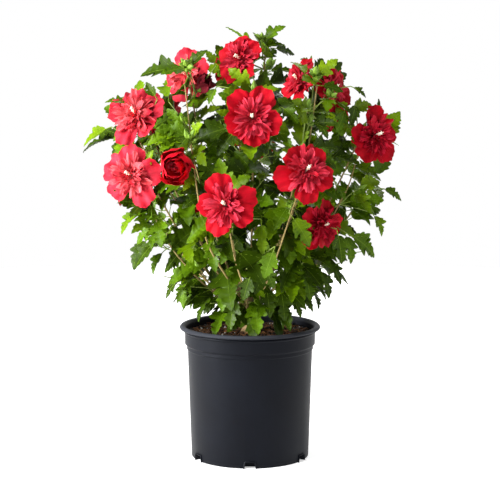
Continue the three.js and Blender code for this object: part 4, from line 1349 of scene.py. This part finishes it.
def petal(part, seat, turn, length, half, lift, spread, base=(2, 0), cup=0.1, ruffle=0.0,
          pleats=0.0, skew=0.0, phase=0.0, rows=8, columns=7, point=0.0, rounding=0.24, ribs=9.0):
    """A petal or sepal: it leaves its base at the angle lift above the bloom's plane and bends over
    to spread. Lengths are millimetres, and cup, ruffle and pleats are shares of the half width."""
    s = np.linspace(0, 1, rows)[:, None]
    t = np.linspace(-1, 1, columns)[None, :]
    ends = 1 - rounding * abs(t) ** 2.4 + 0.025 * np.sin(8 * t + phase) + 0.012 * np.sin(21 * t)
    u = s * ends
    bend = spread - lift + 1e-4
    angle = lift + bend * u
    radius = base[0] + length / bend * (np.sin(angle) - math.sin(lift))
    height = base[1] - length / bend * (np.cos(angle) - math.cos(lift))
    side = t * half * (0.18 + 0.82 * u ** 0.7) * (1 - point * u ** 2)
    out = half * (cup * t ** 2 * u + skew * t * u * (1.2 - u))
    wave = 0.7 * np.sin(4.3 * t + phase) + 0.45 * np.sin(9.7 * t + 2 * phase)
    out = out + half * ruffle * u ** 2.5 * wave * (0.35 + 0.65 * abs(t))
    folds = 0.35 * np.cos(13 * t + phase) + 0.65 * np.cos(ribs * t * (1 - 0.12 * u) - phase)
    out = out + half * pleats * folds * np.sin(np.pi * np.clip(u, 0, 0.9)) ** 0.5
    radius = radius - np.sin(angle) * out
    height = height + np.cos(angle) * out
    away = seat.away(turn)
    beside = np.cross(seat.face, away)
    points = (seat.middle + radius[..., None] * away + (side + 0 * u)[..., None] * beside
              + height[..., None] * seat.face)
    part.add(points, grid_faces(rows, columns))


def petal_material(name, colour, deep_colour, sheen):
    """A silky petal: velvet cells that scatter light at the edges, and a fine crepe."""
    return dappled(
        name, {"Scale": 60.0, "Detail": 4.0}, ((0.32, deep_colour), (0.64, colour)),
        {"Strength": 0.3, "Distance": 0.0003},
        {"Roughness": 0.6, "IOR": 1.4, "Specular IOR Level": 0.12, "Sheen Weight": sheen,
         "Sheen Tint": to_linear("#FF9AA4")},
        relief=("ShaderNodeTexNoise", {"Scale": 700.0, "Detail": 2.0}),
    )[0]


def plain_material(name, colour, other_colour, scale, roughness):
    """A finish of two close colours in soft patches of 1/scale metres, with a fine grain."""
    return dappled(
        name, {"Scale": scale, "Detail": 3.0}, ((0.35, colour), (0.65, other_colour)),
        {"Strength": 0.4, "Distance": 0.0005}, {"Roughness": roughness},
    )[0]


# The colour of each state of bloom, its deeper one, and its sheen. The light colours are painted
# light and the deep ones painted shade, both copies of red.
BLOOM_COLOURS = {
    "red": ("#B8041C", "#9C0010", 0.09),
    "light": ("#C83042", "#AE0A20", 0.22),
    "painted_shade": ("#B20018", "#90000E", 0.04),
    "half_open": ("#DA0620", "#B80016", 0.06),
    "spent": ("#70101E", "#500A16", 0.1),
}
# The petaloids' colours by state, with the same painted light in the light ones and painted shade
# in the deep ones.
PETALOID_COLOURS = {
    "red": ("#DC3E54", "#AC041C", 0.15),
    "light": ("#EE686E", "#C41A30", 0.22),
    "painted_shade": ("#CC1C38", "#960014", 0.08),
}

degrees = math.radians  # so that degrees(72) reads as 72 degrees


def calyx(part, seat, back, spread):
    """Five joined sepals round a cup, and a ring of narrow bracts below them."""
    for k in range(5):
        petal(part, seat, k * degrees(72), 21, 7.5, degrees(62), spread, base=(1.6, -back),
              cup=0.35, rows=6, columns=5, point=0.75, rounding=0.45)
    for k in range(7):
        petal(part, seat, k * degrees(51.4) + 0.3, 13, 1.3, degrees(25), degrees(40),
              base=(1.4, -back + 0.5), cup=0.3, rows=4, columns=3, point=0.6)


def open_bloom(petals, petaloids, greens, creams, bloom, rng):
    """Five broad outer petals, four whorls of ruffled petaloids, and a short pale column."""
    seat = Seat(bloom.middle, bloom.face, rng.random() * 1.2)
    size = bloom.size

    def luck(low, high):
        return low + (high - low) * rng.random()

    for k in range(5):
        petal(petals, seat, k * degrees(72) + luck(-0.2, 0.2), size * luck(0.9, 1.12),
              size * luck(0.5, 0.64), degrees(luck(26, 42)), degrees(luck(-34, 12)),
              base=(2, -0.28 * size), cup=luck(-0.16, 0.24), ruffle=luck(0.16, 0.36), pleats=0.035,
              skew=luck(0.08, 0.34), phase=luck(0, 6.28), rows=17, columns=35, rounding=0.34,
              ribs=8)
    # How many, then length and half width, lift and spread in degrees, the height of the seat,
    # the grid's rows and columns, and the ruffle. Lengths are shares of the bloom's radius.
    whorls = (
        (12, 0.82, 0.14, 42, -2, -0.24, 12, 11, 1.2),
        (17, 0.72, 0.105, 48, 4, -0.21, 11, 10, 1.5),
        (20, 0.58, 0.088, 58, 18, -0.17, 10, 9, 1.6),
        (15, 0.42, 0.075, 70, 40, -0.12, 8, 8, 1.5),
    )
    for count, length, half, lift, spread, back, rows, columns, wave in whorls:
        first = rng.random() * 6.28
        for k in range(count):
            petal(petaloids, seat, first + (k + luck(-0.3, 0.3)) / count * 2 * math.pi,
                  size * length * luck(0.75, 1.15), size * half * luck(0.7, 1.3),
                  degrees(lift + luck(-12, 12)), degrees(spread + luck(-40, 36)),
                  base=(1.6, back * size), cup=luck(0.3, 1.7) * (1 if luck(0, 1) < 0.7 else -1),
                  ruffle=luck(0.3, 0.7) * wave, pleats=0.06, skew=luck(-0.9, 0.9),
                  phase=luck(0, 6.28), rows=rows, columns=columns, ribs=9)
    tip = bloom.middle + bloom.face * size * 0.34 + UP * size * 0.1
    foot = bloom.middle - bloom.face * size * 0.2
    steps = [mix(foot, tip, share) for share in (0, 0.4, 0.7, 0.9, 1)]
    tube(creams, steps, [1.5, 1.4, 1.4, 1.8, 0.8], 7)
    for k in range(14):
        away = seat.away(k * GOLDEN_ANGLE)
        root = mix(foot, tip, 0.5 + 0.035 * k)
        knob = root + away * 2.2 + bloom.face * 0.8
        tube(creams, [root, knob, knob + away * 0.9], [0.25, 0.7, 0.3], 5)
    calyx(greens, seat, BLOOM_BACK - 1, degrees(52))


def half_open_bloom(petals, petaloids, greens, bloom, rng):
    """A bloom that is still a cup: broad petals held upright round a crowd of furled ones."""
    seat = Seat(bloom.middle, bloom.face, rng.random())
    size = bloom.size
    # As in an open bloom, with the part that the whorl goes to and its count of ribs.
    whorls = (
        (petals, 5, 2.0, 0.95, 0, 118, 12, 15, 9), (petals, 5, 1.95, 0.84, 14, 116, 12, 13, 9),
        (petals, 6, 1.85, 0.6, 30, 112, 11, 11, 8), (petals, 7, 1.75, 0.42, 46, 108, 11, 9, 8),
        (petaloids, 8, 1.65, 0.28, 60, 104, 9, 8, 8), (petaloids, 8, 1.6, 0.2, 76, 98, 8, 6, 8),
        (petaloids, 4, 1.5, 0.15, 86, 93, 8, 6, 8),
    )
    for part, count, length, half, lift, spread, rows, columns, ribs in whorls:
        first = rng.random() * 6.28
        for k in range(count):
            turn = first + (k + 0.3 * rng.random()) / count * 2 * math.pi
            petal(part, seat, turn, size * length * rng.uniform(0.92, 1.08), size * half,
                  degrees(lift + 8 * rng.random()), degrees(spread + rng.uniform(-14, 14)),
                  base=(2, -0.8 * size), cup=0.3, ruffle=0.08, pleats=0.04, skew=0.25,
                  phase=6.28 * rng.random(), rows=rows, columns=columns, ribs=ribs)
    calyx(greens, seat, 0.95 * size, degrees(60))


def spent_bloom(petals, greens, bloom, rng):
    """A bloom past its best, furled into a limp twist."""
    seat = Seat(bloom.middle, bloom.face, rng.random())
    size = bloom.size
    whorls = ((5, 1.9, 0.6, 52, 92), (5, 1.6, 0.5, 66, 84), (6, 1.2, 0.36, 76, 70))
    for count, length, half, lift, spread in whorls:
        first = rng.random() * 6.28
        for k in range(count):
            petal(petals, seat, first + k / count * 2 * math.pi, size * length, size * half,
                  degrees(lift + 10 * rng.random()), degrees(spread + 20 * rng.random()),
                  base=(1.5, -size), cup=-0.5, ruffle=0.4, pleats=0.1, skew=0.5,
                  phase=6.28 * rng.random(), rows=11, columns=9)
    calyx(greens, seat, size + 3, degrees(74))


def bud(part, middle, axis, size, rng):
    """A pointed egg of five seamed sepals, with narrow bracts round its foot."""
    seat = Seat(middle, axis, rng.random() * 6)
    heights = np.array([-1.5, -1.1, -0.5, 0.1, 0.8, 1.5, 2.1]) * size
    radii = np.array([0.25, 0.6, 0.86, 0.9, 0.66, 0.3, 0.04]) * size
    tube(part, [middle + axis * h for h in heights], radii, 15,
         wobble=lambda i, turns: 0.13 * np.cos(5 * turns))
    for k in range(7):
        petal(part, seat, k * degrees(51.4), size * 2.5, size * 0.24, degrees(6), degrees(82),
              base=(size * 0.3, -size * 1.4), cup=0.3, rows=5, columns=3, point=0.7)


# End blooms that have only just opened, and are smaller than the room that the leaves leave them.
YOUNG_BLOOMS = {"back_top": 35, "back_left_low": 37, "back_right": 33}


def make_blooms():
    rng = np.random.default_rng(SEED + 1)
    greens, creams = Part(), Part()
    petals = {state: Part() for state in BLOOM_COLOURS}
    petaloids = {state: Part() for state in OPEN_STATES}
    for bloom in blooms:
        if bloom.shoot.name in YOUNG_BLOOMS:
            bloom = bloom._replace(size=YOUNG_BLOOMS[bloom.shoot.name])
        if bloom.state == "half_open":
            half_open_bloom(petals["half_open"], petaloids["red"], greens, bloom, rng)
        elif bloom.state == "spent":
            spent_bloom(petals["spent"], greens, bloom, rng)
        else:
            parts = petals[bloom.state], petaloids[bloom.state]
            open_bloom(*parts, greens, creams, bloom, rng)
    for state, part in petals.items():
        material = petal_material("petal_" + state, *BLOOM_COLOURS[state])
        finished("petals_" + state, part, material, foliage_nodes)
        if state in petaloids:
            material = petal_material("petaloid_" + state, *PETALOID_COLOURS[state])
            finished("petaloids_" + state, petaloids[state], material)
    for mass in masses:
        for middle, axis, size in mass.buds:
            bud(greens, middle, axis, size, rng)
    green = plain_material("calyx_and_bud", "#5A7C12", "#7A9A26", 300.0, 0.6)
    finished("calyxes_and_buds", greens, green)
    cream = plain_material("stamen_column", "#F6EBCB", "#FFF8E6", 900.0, 0.6)
    finished("stamen_columns", creams, cream)


# ---- trunk, boughs and twigs ----

def relief(p, scale):
    """Smooth noise from -1 to 1 at a place in millimetres, with features of the scale's size."""
    return noise.noise(Vector(p) / scale)


def bark_material(name, colour, pale_colour, dark_colour):
    """Thin grey-brown bark with fine cracks along the limb."""
    return dappled(
        name, {"Scale": 1.0, "Detail": 4.0},
        ((0.3, dark_colour), (0.5, colour), (0.72, pale_colour)),
        {"Strength": 0.7, "Distance": 0.0008}, {"Roughness": 0.8},
        stretch=(1000.0, 1000.0, 130.0),  # streaks 1 mm wide that run some 8 mm up the limb
    )[0]


# The trunk's heights and radii.
TRUNK_PROFILE = np.array([
    (TRUNK_FOOT, 17.5), (208, 15.2), (211, 13), (217, 11), (221, 14.2), (227, 17), (233, 18),
    (239, 17.4), (244, 15.2), (248, 11.5), (251, 6),
])


def make_trunk_and_boughs():
    wood = Part()
    rings = []
    for z in np.linspace(TRUNK_FOOT, TRUNK_TOP - 0.6, 34):
        radius = np.interp(z, *TRUNK_PROFILE.T)
        flare = clamp((213 - z) / 7, 0, 1)
        ring = []
        for turn in turns_of(30):
            p = np.array((math.cos(turn) * radius, math.sin(turn) * radius, z))
            knob = 1 + 0.1 * relief(p, 9) + 0.06 * relief(p + 50, 3.5) + 0.03 * math.cos(9 * turn)
            knob += 0.13 * flare * math.cos(5 * turn)
            ring.append((p[0] * knob, p[1] * knob, z))
        rings.append(ring)
    add_rings(wood, rings, (0, 0, TRUNK_FOOT), (0, 0, TRUNK_TOP))

    def ribbed(i, turns):
        return 0.09 * np.sin(3 * turns + i * 0.7) + 0.05 * np.cos(5 * turns - i)

    for shoot in shoots:
        count = int(shoot.bare // 3.5)
        distances = np.linspace(-4, shoot.bare + 1, count)
        places = [shoot.along(max(d, 0))[0] + shoot.along(0)[1] * min(d, 0) for d in distances]
        swell = 0.1 * np.maximum(0, np.cos(distances / NODE_SPACING * 2 * math.pi)) ** 8
        radii = np.interp(distances, (-4, 8, shoot.bare), (3.2, 2.3, 1.7)) * (1 + 2 * swell)
        tube(wood, places, radii, 10, wobble=ribbed)
    bark = bark_material("grey_brown_bark", "#94794F", "#B39A6C", "#6B5536")
    nodes = ["trunk"] + ["bough_" + shoot.name for shoot in shoots]
    finished("trunk_and_boughs", wood, bark, nodes)


def make_twigs():
    stems, twigs = Part(), Part()
    for mass in masses:
        for points, foot_radius, tip_radius, kind in mass.limbs:
            points = np.array(points)
            runs = np.linalg.norm(np.diff(points, axis=0), axis=1)
            steps = np.concatenate([[0], np.cumsum(runs)])
            count = max(3, int(steps[-1] // 7))
            distances = np.linspace(0, steps[-1], count)
            if kind == "stem":
                part, sides = stems, 7
                places = np.array([mass.shoot.along(mass.start + d)[0] for d in distances])
            else:
                part, sides = twigs, 5
                places = np.stack([np.interp(distances, steps, axis) for axis in points.T], axis=1)
            radii = np.linspace(foot_radius, tip_radius, count)
            swell = np.maximum(0, np.cos(distances / NODE_SPACING * 2 * math.pi)) ** 6
            tube(part, places, radii * (1 + 0.22 * swell), sides)
    for path in open_stems:
        tube(stems, path, np.linspace(1.9, 1.0, len(path)), 8)
    tan = bark_material("tan_stem", "#8E7A44", "#A8945A", "#6C5A32")
    green = bark_material("green_twig", "#7F9440", "#97A852", "#667A30")
    finished("stems", stems, tan)
    finished("twigs_and_stalks", twigs, green)


# ---- pot and potting mix ----

def wall_radius(height):
    return mix(POT_FOOT_RADIUS, POT_SHOULDER_RADIUS, height / POT_SHOULDER_HEIGHT)


def rounded(profile, reach):
    """A profile of points whose corners are rounded over, each by up to the reach."""
    points = [np.array(p, float) for p in profile]
    smooth = [points[0]]
    for before, corner, after in zip(points, points[1:], points[2:]):
        a, b = before - corner, after - corner
        cut = min(reach, np.linalg.norm(a) * 0.45, np.linalg.norm(b) * 0.45)
        start, end = corner + unit(a) * cut, corner + unit(b) * cut
        for t in (0, 0.33, 0.67, 1):
            smooth.append((1 - t) ** 2 * start + 2 * t * (1 - t) * corner + t * t * end)
    smooth.append(points[-1])
    return np.array(smooth)


POT_SIDES = 192


def turned(part, profile):
    """Turns a profile of radii and heights round the pot's axis. Its ends lie on the axis."""
    turns = turns_of(POT_SIDES)
    inner = profile[1:-1]
    x = np.outer(inner[:, 0], np.cos(turns))
    y = np.outer(inner[:, 0], np.sin(turns))
    z = np.repeat(inner[:, 1][:, None], POT_SIDES, axis=1)
    add_rings(part, np.stack([x, y, z], axis=-1), (0, 0, profile[0][1]), (0, 0, profile[-1][1]))


def pot_material():
    """Recycled black polypropylene, injection moulded: a satin charcoal with faint flow marks."""
    material, tree, shader, cloud = dappled(
        "moulded_polypropylene", {"Scale": 14.0, "Detail": 5.0},
        ((0.3, "#0A0B0F"), (0.7, "#0E1016")), {"Strength": 0.25, "Distance": 0.0003},
        {"IOR": 1.49, "Specular IOR Level": 0.12, "Specular Tint": to_linear("#DCE1EE")},
        # The mould's grain is some 0.8 mm across, drawn a little coarse so that it shows.
        relief=("ShaderNodeTexNoise", {"Scale": 1200.0, "Detail": 2.0}),
    )
    rough = add_node(tree, "ShaderNodeMapRange", {"To Min": 0.42, "To Max": 0.54}, {"Value": cloud})
    # The lip is painted paler from 212 mm up and fully from 217 mm: a painted highlight where the
    # rim catches the light.
    place = add_node(tree, "ShaderNodeTexCoord").outputs["Object"]
    height = add_node(tree, "ShaderNodeSeparateXYZ", {}, {"Vector": place}).outputs["Z"]
    lip_highlight_mask = add_node(
        tree, "ShaderNodeMapRange", {"From Min": 0.212, "From Max": 0.217}, {"Value": height}
    )
    charcoal = shader.inputs["Base Color"].links[0].from_socket
    # Painted highlight: the charcoal turns to a paler grey on the lip.
    painted_lip_highlight = add_node(
        tree, "ShaderNodeMix", {"data_type": "RGBA", 7: to_linear("#34363C")},
        {0: lip_highlight_mask.outputs["Result"], 6: charcoal},
    )
    tree.links.new(painted_lip_highlight.outputs[2], shader.inputs["Base Color"])
    tree.links.new(rough.outputs["Result"], shader.inputs["Roughness"])
    return material


def wall_place(azimuth_mm, height, stand):
    """A place on the pot's outer wall near its foot: millimetres round it, height and stand-off."""
    radius = wall_radius(height) + stand
    turn = azimuth_mm / POT_FOOT_RADIUS
    return np.array((radius * math.sin(turn), -radius * math.cos(turn), height))


def notch_frame(part, notch_azimuth):
    """The raised lip round a notch in the pot's foot: up one side, across and down the other."""
    foot, half, top, width = NOTCH_WIDTH / 2, NOTCH_TOP_WIDTH / 2, NOTCH_HEIGHT, NOTCH_FRAME
    right_inner = [(half - 1, top), (half, top - 1), (foot, 0)]
    right_outer = [(half - 0.4, top + width), (half + width, top + 0.6), (foot + width, 0)]
    inner = [(-x, z) for x, z in reversed(right_inner)] + right_inner
    outer = [(-x, z) for x, z in reversed(right_outer)] + right_outer
    turn = math.radians(notch_azimuth)
    cos, sin = math.cos(turn), math.sin(turn)

    def placed(p, stand):
        x, y, z = wall_place(p[0], max(p[1], 0.05), stand)
        return (x * cos - y * sin, x * sin + y * cos, z)

    rows = []
    for a, b in zip(inner, outer):
        middle = ((a[0] + b[0]) / 2, (a[1] + b[1]) / 2)
        stands = ((a, -1.0), (a, 1.5), (middle, 2.1), (b, 1.2), (b, -1.0))
        rows += [placed(p, stand) for p, stand in stands]
    end = len(rows) - 5
    part.add(rows, grid_faces(len(inner), 5, closed=True)[:, ::-1], [[0, 1, 2, 3, 4]],
             [[end + 4, end + 3, end + 2, end + 1, end]])


def apply_modifiers(piece):
    graph = bpy.context.evaluated_depsgraph_get()
    shape = bpy.data.meshes.new_from_object(piece.evaluated_get(graph))
    old = piece.data
    piece.modifiers.clear()
    piece.data = shape
    bpy.data.meshes.remove(old)


def cut_notches(pot):
    """Cuts the drain notches through the wall and into the ring that the pot stands on."""
    cutter_part = Part()
    foot, half, top = NOTCH_WIDTH / 2, NOTCH_TOP_WIDTH / 2, NOTCH_HEIGHT
    outline = [
        (-foot - 0.5, -2), (foot + 0.5, -2), (half, top - 1), (half - 1, top), (-half + 1, top),
        (-half, top - 1),
    ]
    for turn in turns_of(NOTCH_COUNT):
        cos, sin = math.cos(turn), math.sin(turn)
        rows = []
        for depth in (-POT_FOOT_RADIUS - 16, -POT_FOOT_RADIUS + NOTCH_DEPTH):
            rows += [(x * cos - depth * sin, x * sin + depth * cos, z) for x, z in outline]
        cutter_part.add(
            rows, grid_faces(2, 6, closed=True)[:, ::-1], [[0, 1, 2, 3, 4, 5], [11, 10, 9, 8, 7, 6]]
        )
    cutter = linked("notch_cutter", cutter_part.mesh("notch_cutter"))
    cut = pot.modifiers.new("notches", "BOOLEAN")
    cut.operation = "DIFFERENCE"
    cut.solver = "EXACT"
    cut.object = cutter
    apply_modifiers(pot)
    bpy.data.objects.remove(cutter)


def make_pot():
    lip = POT_HEIGHT - POT_LIP_HEIGHT
    band = POT_BAND_RADIUS
    profile = rounded([
        (0, 0), (POT_PAD_RADIUS, 0), (POT_PAD_RADIUS + 2, POT_FLOOR_RECESS),
        (POT_FOOT_RADIUS - POT_RING_WIDTH - 2, POT_FLOOR_RECESS),
        (POT_FOOT_RADIUS - POT_RING_WIDTH, 0), (POT_FOOT_RADIUS, 0),
        (POT_SHOULDER_RADIUS - 1.2, POT_SHOULDER_HEIGHT - 7.6),
        (POT_SHOULDER_RADIUS + 0.3, POT_SHOULDER_HEIGHT - 6.6),
        (POT_SHOULDER_RADIUS, POT_SHOULDER_HEIGHT - 0.6),
        (band - 0.5, POT_SHOULDER_HEIGHT + 1.6), (band - 0.2, lip - 5.6), (band + 1.6, lip - 4.4),
        (band + 1.4, lip - 2.4), (band + 0.2, lip - 1), (POT_RIM_RADIUS - 1.2, lip + 0.2),
        (POT_RIM_RADIUS, lip + 2.2), (POT_RIM_RADIUS - 0.4, POT_HEIGHT - 3.0),
        (POT_RIM_RADIUS - 2.0, POT_HEIGHT - 1.0), (POT_RIM_RADIUS - 4.6, POT_HEIGHT),
        (POT_RIM_RADIUS - 7.5, POT_HEIGHT - 0.6),
        (band - POT_WALL, POT_HEIGHT - 5), (band - 0.6 - POT_WALL, POT_SHOULDER_HEIGHT + 3),
        (POT_SHOULDER_RADIUS - POT_WALL, POT_SHOULDER_HEIGHT),
        (wall_radius(POT_FLOOR_TOP) - POT_WALL, POT_FLOOR_TOP), (0, POT_FLOOR_TOP),
    ], 1.2)
    part = Part()
    turned(part, profile)
    pot = finished("pot_shell", part, pot_material(), ["pot"])
    cut_notches(pot)
    pot.data.shade_smooth()
    pot.data.set_sharp_from_angle(angle=math.radians(42))
    frames = Part()
    for k in range(NOTCH_COUNT):
        notch_frame(frames, k * 360 / NOTCH_COUNT)
    finished("notch_frames", frames, pot.data.materials[0], smooth_angle=40)


def mix_height(x, y):
    """The rough top of the mix: clods of 18 mm and crumbs of 5 mm on a low mound."""
    radius = math.hypot(x, y)
    level = np.interp(radius, (58, 82, MIX_RADIUS), (MIX_TOP, MIX_TOP - 1, MIX_EDGE_TOP))
    rough = 1.5 * relief((x, y, 3.0), 18) + 1.1 * relief((x, y, 40.0), 5.5)
    return level + rough * clamp((radius - 14) / 10, 0.15, 1)


def make_bed():
    """The bed: its rough top from the middle out, then its side and its underside."""
    bed = Part()
    profile = [(radius, None) for radius in np.linspace(1.5, MIX_RADIUS, 60)]
    profile += [
        (MIX_RADIUS, 191), (POT_SHOULDER_RADIUS - POT_WALL - 1.5, POT_SHOULDER_HEIGHT - 1),
        (wall_radius(26) - 3, 26), (wall_radius(MIX_BOTTOM) - 15, MIX_BOTTOM),
    ]
    rings = []
    for radius, height in profile:
        ring = [(radius * math.cos(turn), radius * math.sin(turn)) for turn in turns_of(160)]
        rings.append([(x, y, mix_height(x, y) if height is None else height) for x, y in ring])
    add_rings(bed, rings, (0, 0, MIX_TOP), (0, 0, MIX_BOTTOM), flip=True)
    peat = plain_material("peat_and_fines", "#1E130C", "#3A2618", 420.0, 0.95)
    finished("potting_mix_bed", bed, peat, ["potting_mix"])


CHIP_COUNT = 2600
FIBRE_COUNT = 380
PERLITE_COUNT = 34
# The chips' kinds: the share of each and its two colours.
CHIPS = {
    "dark": (0.5, "#21160E", "#332214"),
    "brown": (0.34, "#4A3120", "#5E402A"),
    "rust": (0.16, "#64401F", "#7C4E28"),
}


def make_loose_bits():
    """Bark chips, coir fibres and grains of perlite that lie on the bed."""
    rng = np.random.default_rng(SEED + 2)
    cube = np.array([(x, y, z) for z in (-1, 1) for y in (-1, 1) for x in (-1, 1)], float)
    cube_faces = [
        [0, 2, 3, 1], [4, 5, 7, 6], [0, 1, 5, 4], [2, 6, 7, 3], [0, 4, 6, 2], [1, 3, 7, 5],
    ]

    def scattered(reach):
        radius = math.sqrt(rng.uniform(BARE_MIDDLE ** 2, reach ** 2))
        turn = rng.uniform(0, 2 * math.pi)
        x, y = radius * math.cos(turn), radius * math.sin(turn)
        return np.array((x, y, mix_height(x, y)))

    def crumb(part, middle, size, lie):
        """An angular bit: a box with its corners pulled about, flatter where lie is large."""
        shape = cube * (np.array(size) / 2) * rng.uniform(0.55, 1.1, (8, 3))
        heading = rng.uniform(0, 6.28)
        pitch, roll = rng.normal(0, 0.5 / lie), rng.normal(0, 0.5 / lie)
        for axis, angle in ((ACROSS, roll), (ALONG, pitch), (UP, heading)):
            shape = turned_about(shape, axis, angle)
        part.add(shape + middle, cube_faces)

    chips = {kind: Part() for kind in CHIPS}
    for _ in range(CHIP_COUNT):
        kind = rng.choice(list(CHIPS), p=[share for share, *_ in CHIPS.values()])
        length = rng.uniform(2.5, 11) if rng.random() < 0.5 else rng.uniform(1.5, 4)
        size = (length, length * rng.uniform(0.25, 0.7), rng.uniform(0.8, 2.4))
        crumb(chips[kind], scattered(MIX_RADIUS - 2) + UP * rng.uniform(0, 1.6), size, 1.4)
    for kind, part in chips.items():
        bark_bits = plain_material("bark_chips_" + kind, *CHIPS[kind][1:], 260.0, 0.9)
        finished("bark_chips_" + kind, part, bark_bits, smooth_angle=20)

    fibres = Part()
    for _ in range(FIBRE_COUNT):
        start = scattered(MIX_RADIUS - 3) + UP * rng.uniform(0.5, 2.4)
        heading = rng.uniform(0, 6.28)
        way = np.array((math.cos(heading), math.sin(heading), rng.uniform(-0.05, 0.12)))
        side = np.array((-way[1], way[0], 0)) * rng.uniform(-5, 5)
        length = rng.uniform(8, 26)
        points = [start + way * length * t + side * t * (1 - t) * 2 for t in (0, 0.33, 0.67, 1)]
        points = [p for p in points if math.hypot(p[0], p[1]) < MIX_RADIUS - 1]
        if len(points) > 2:
            tube(fibres, points, [0.35] * len(points), 3)
    coir = plain_material("coir_fibre", "#8A5A30", "#A8743F", 500.0, 0.85)
    finished("fibres", fibres, coir)

    grains = Part()
    for _ in range(PERLITE_COUNT):
        size = rng.uniform(1.6, 4.4)
        middle = scattered(MIX_RADIUS - 5) + UP * rng.uniform(0.8, 1.8)
        crumb(grains, middle, (size, size * 0.85, size * 0.7), 0.6)
    white = plain_material("perlite", "#E9E6DE", "#FFFFFF", 700.0, 0.9)
    finished("perlite_grains", grains, white)


make_pot()
make_bed()
make_loose_bits()
make_trunk_and_boughs()
make_twigs()
make_blooms()
make_leaves()

bpy.context.view_layer.update()
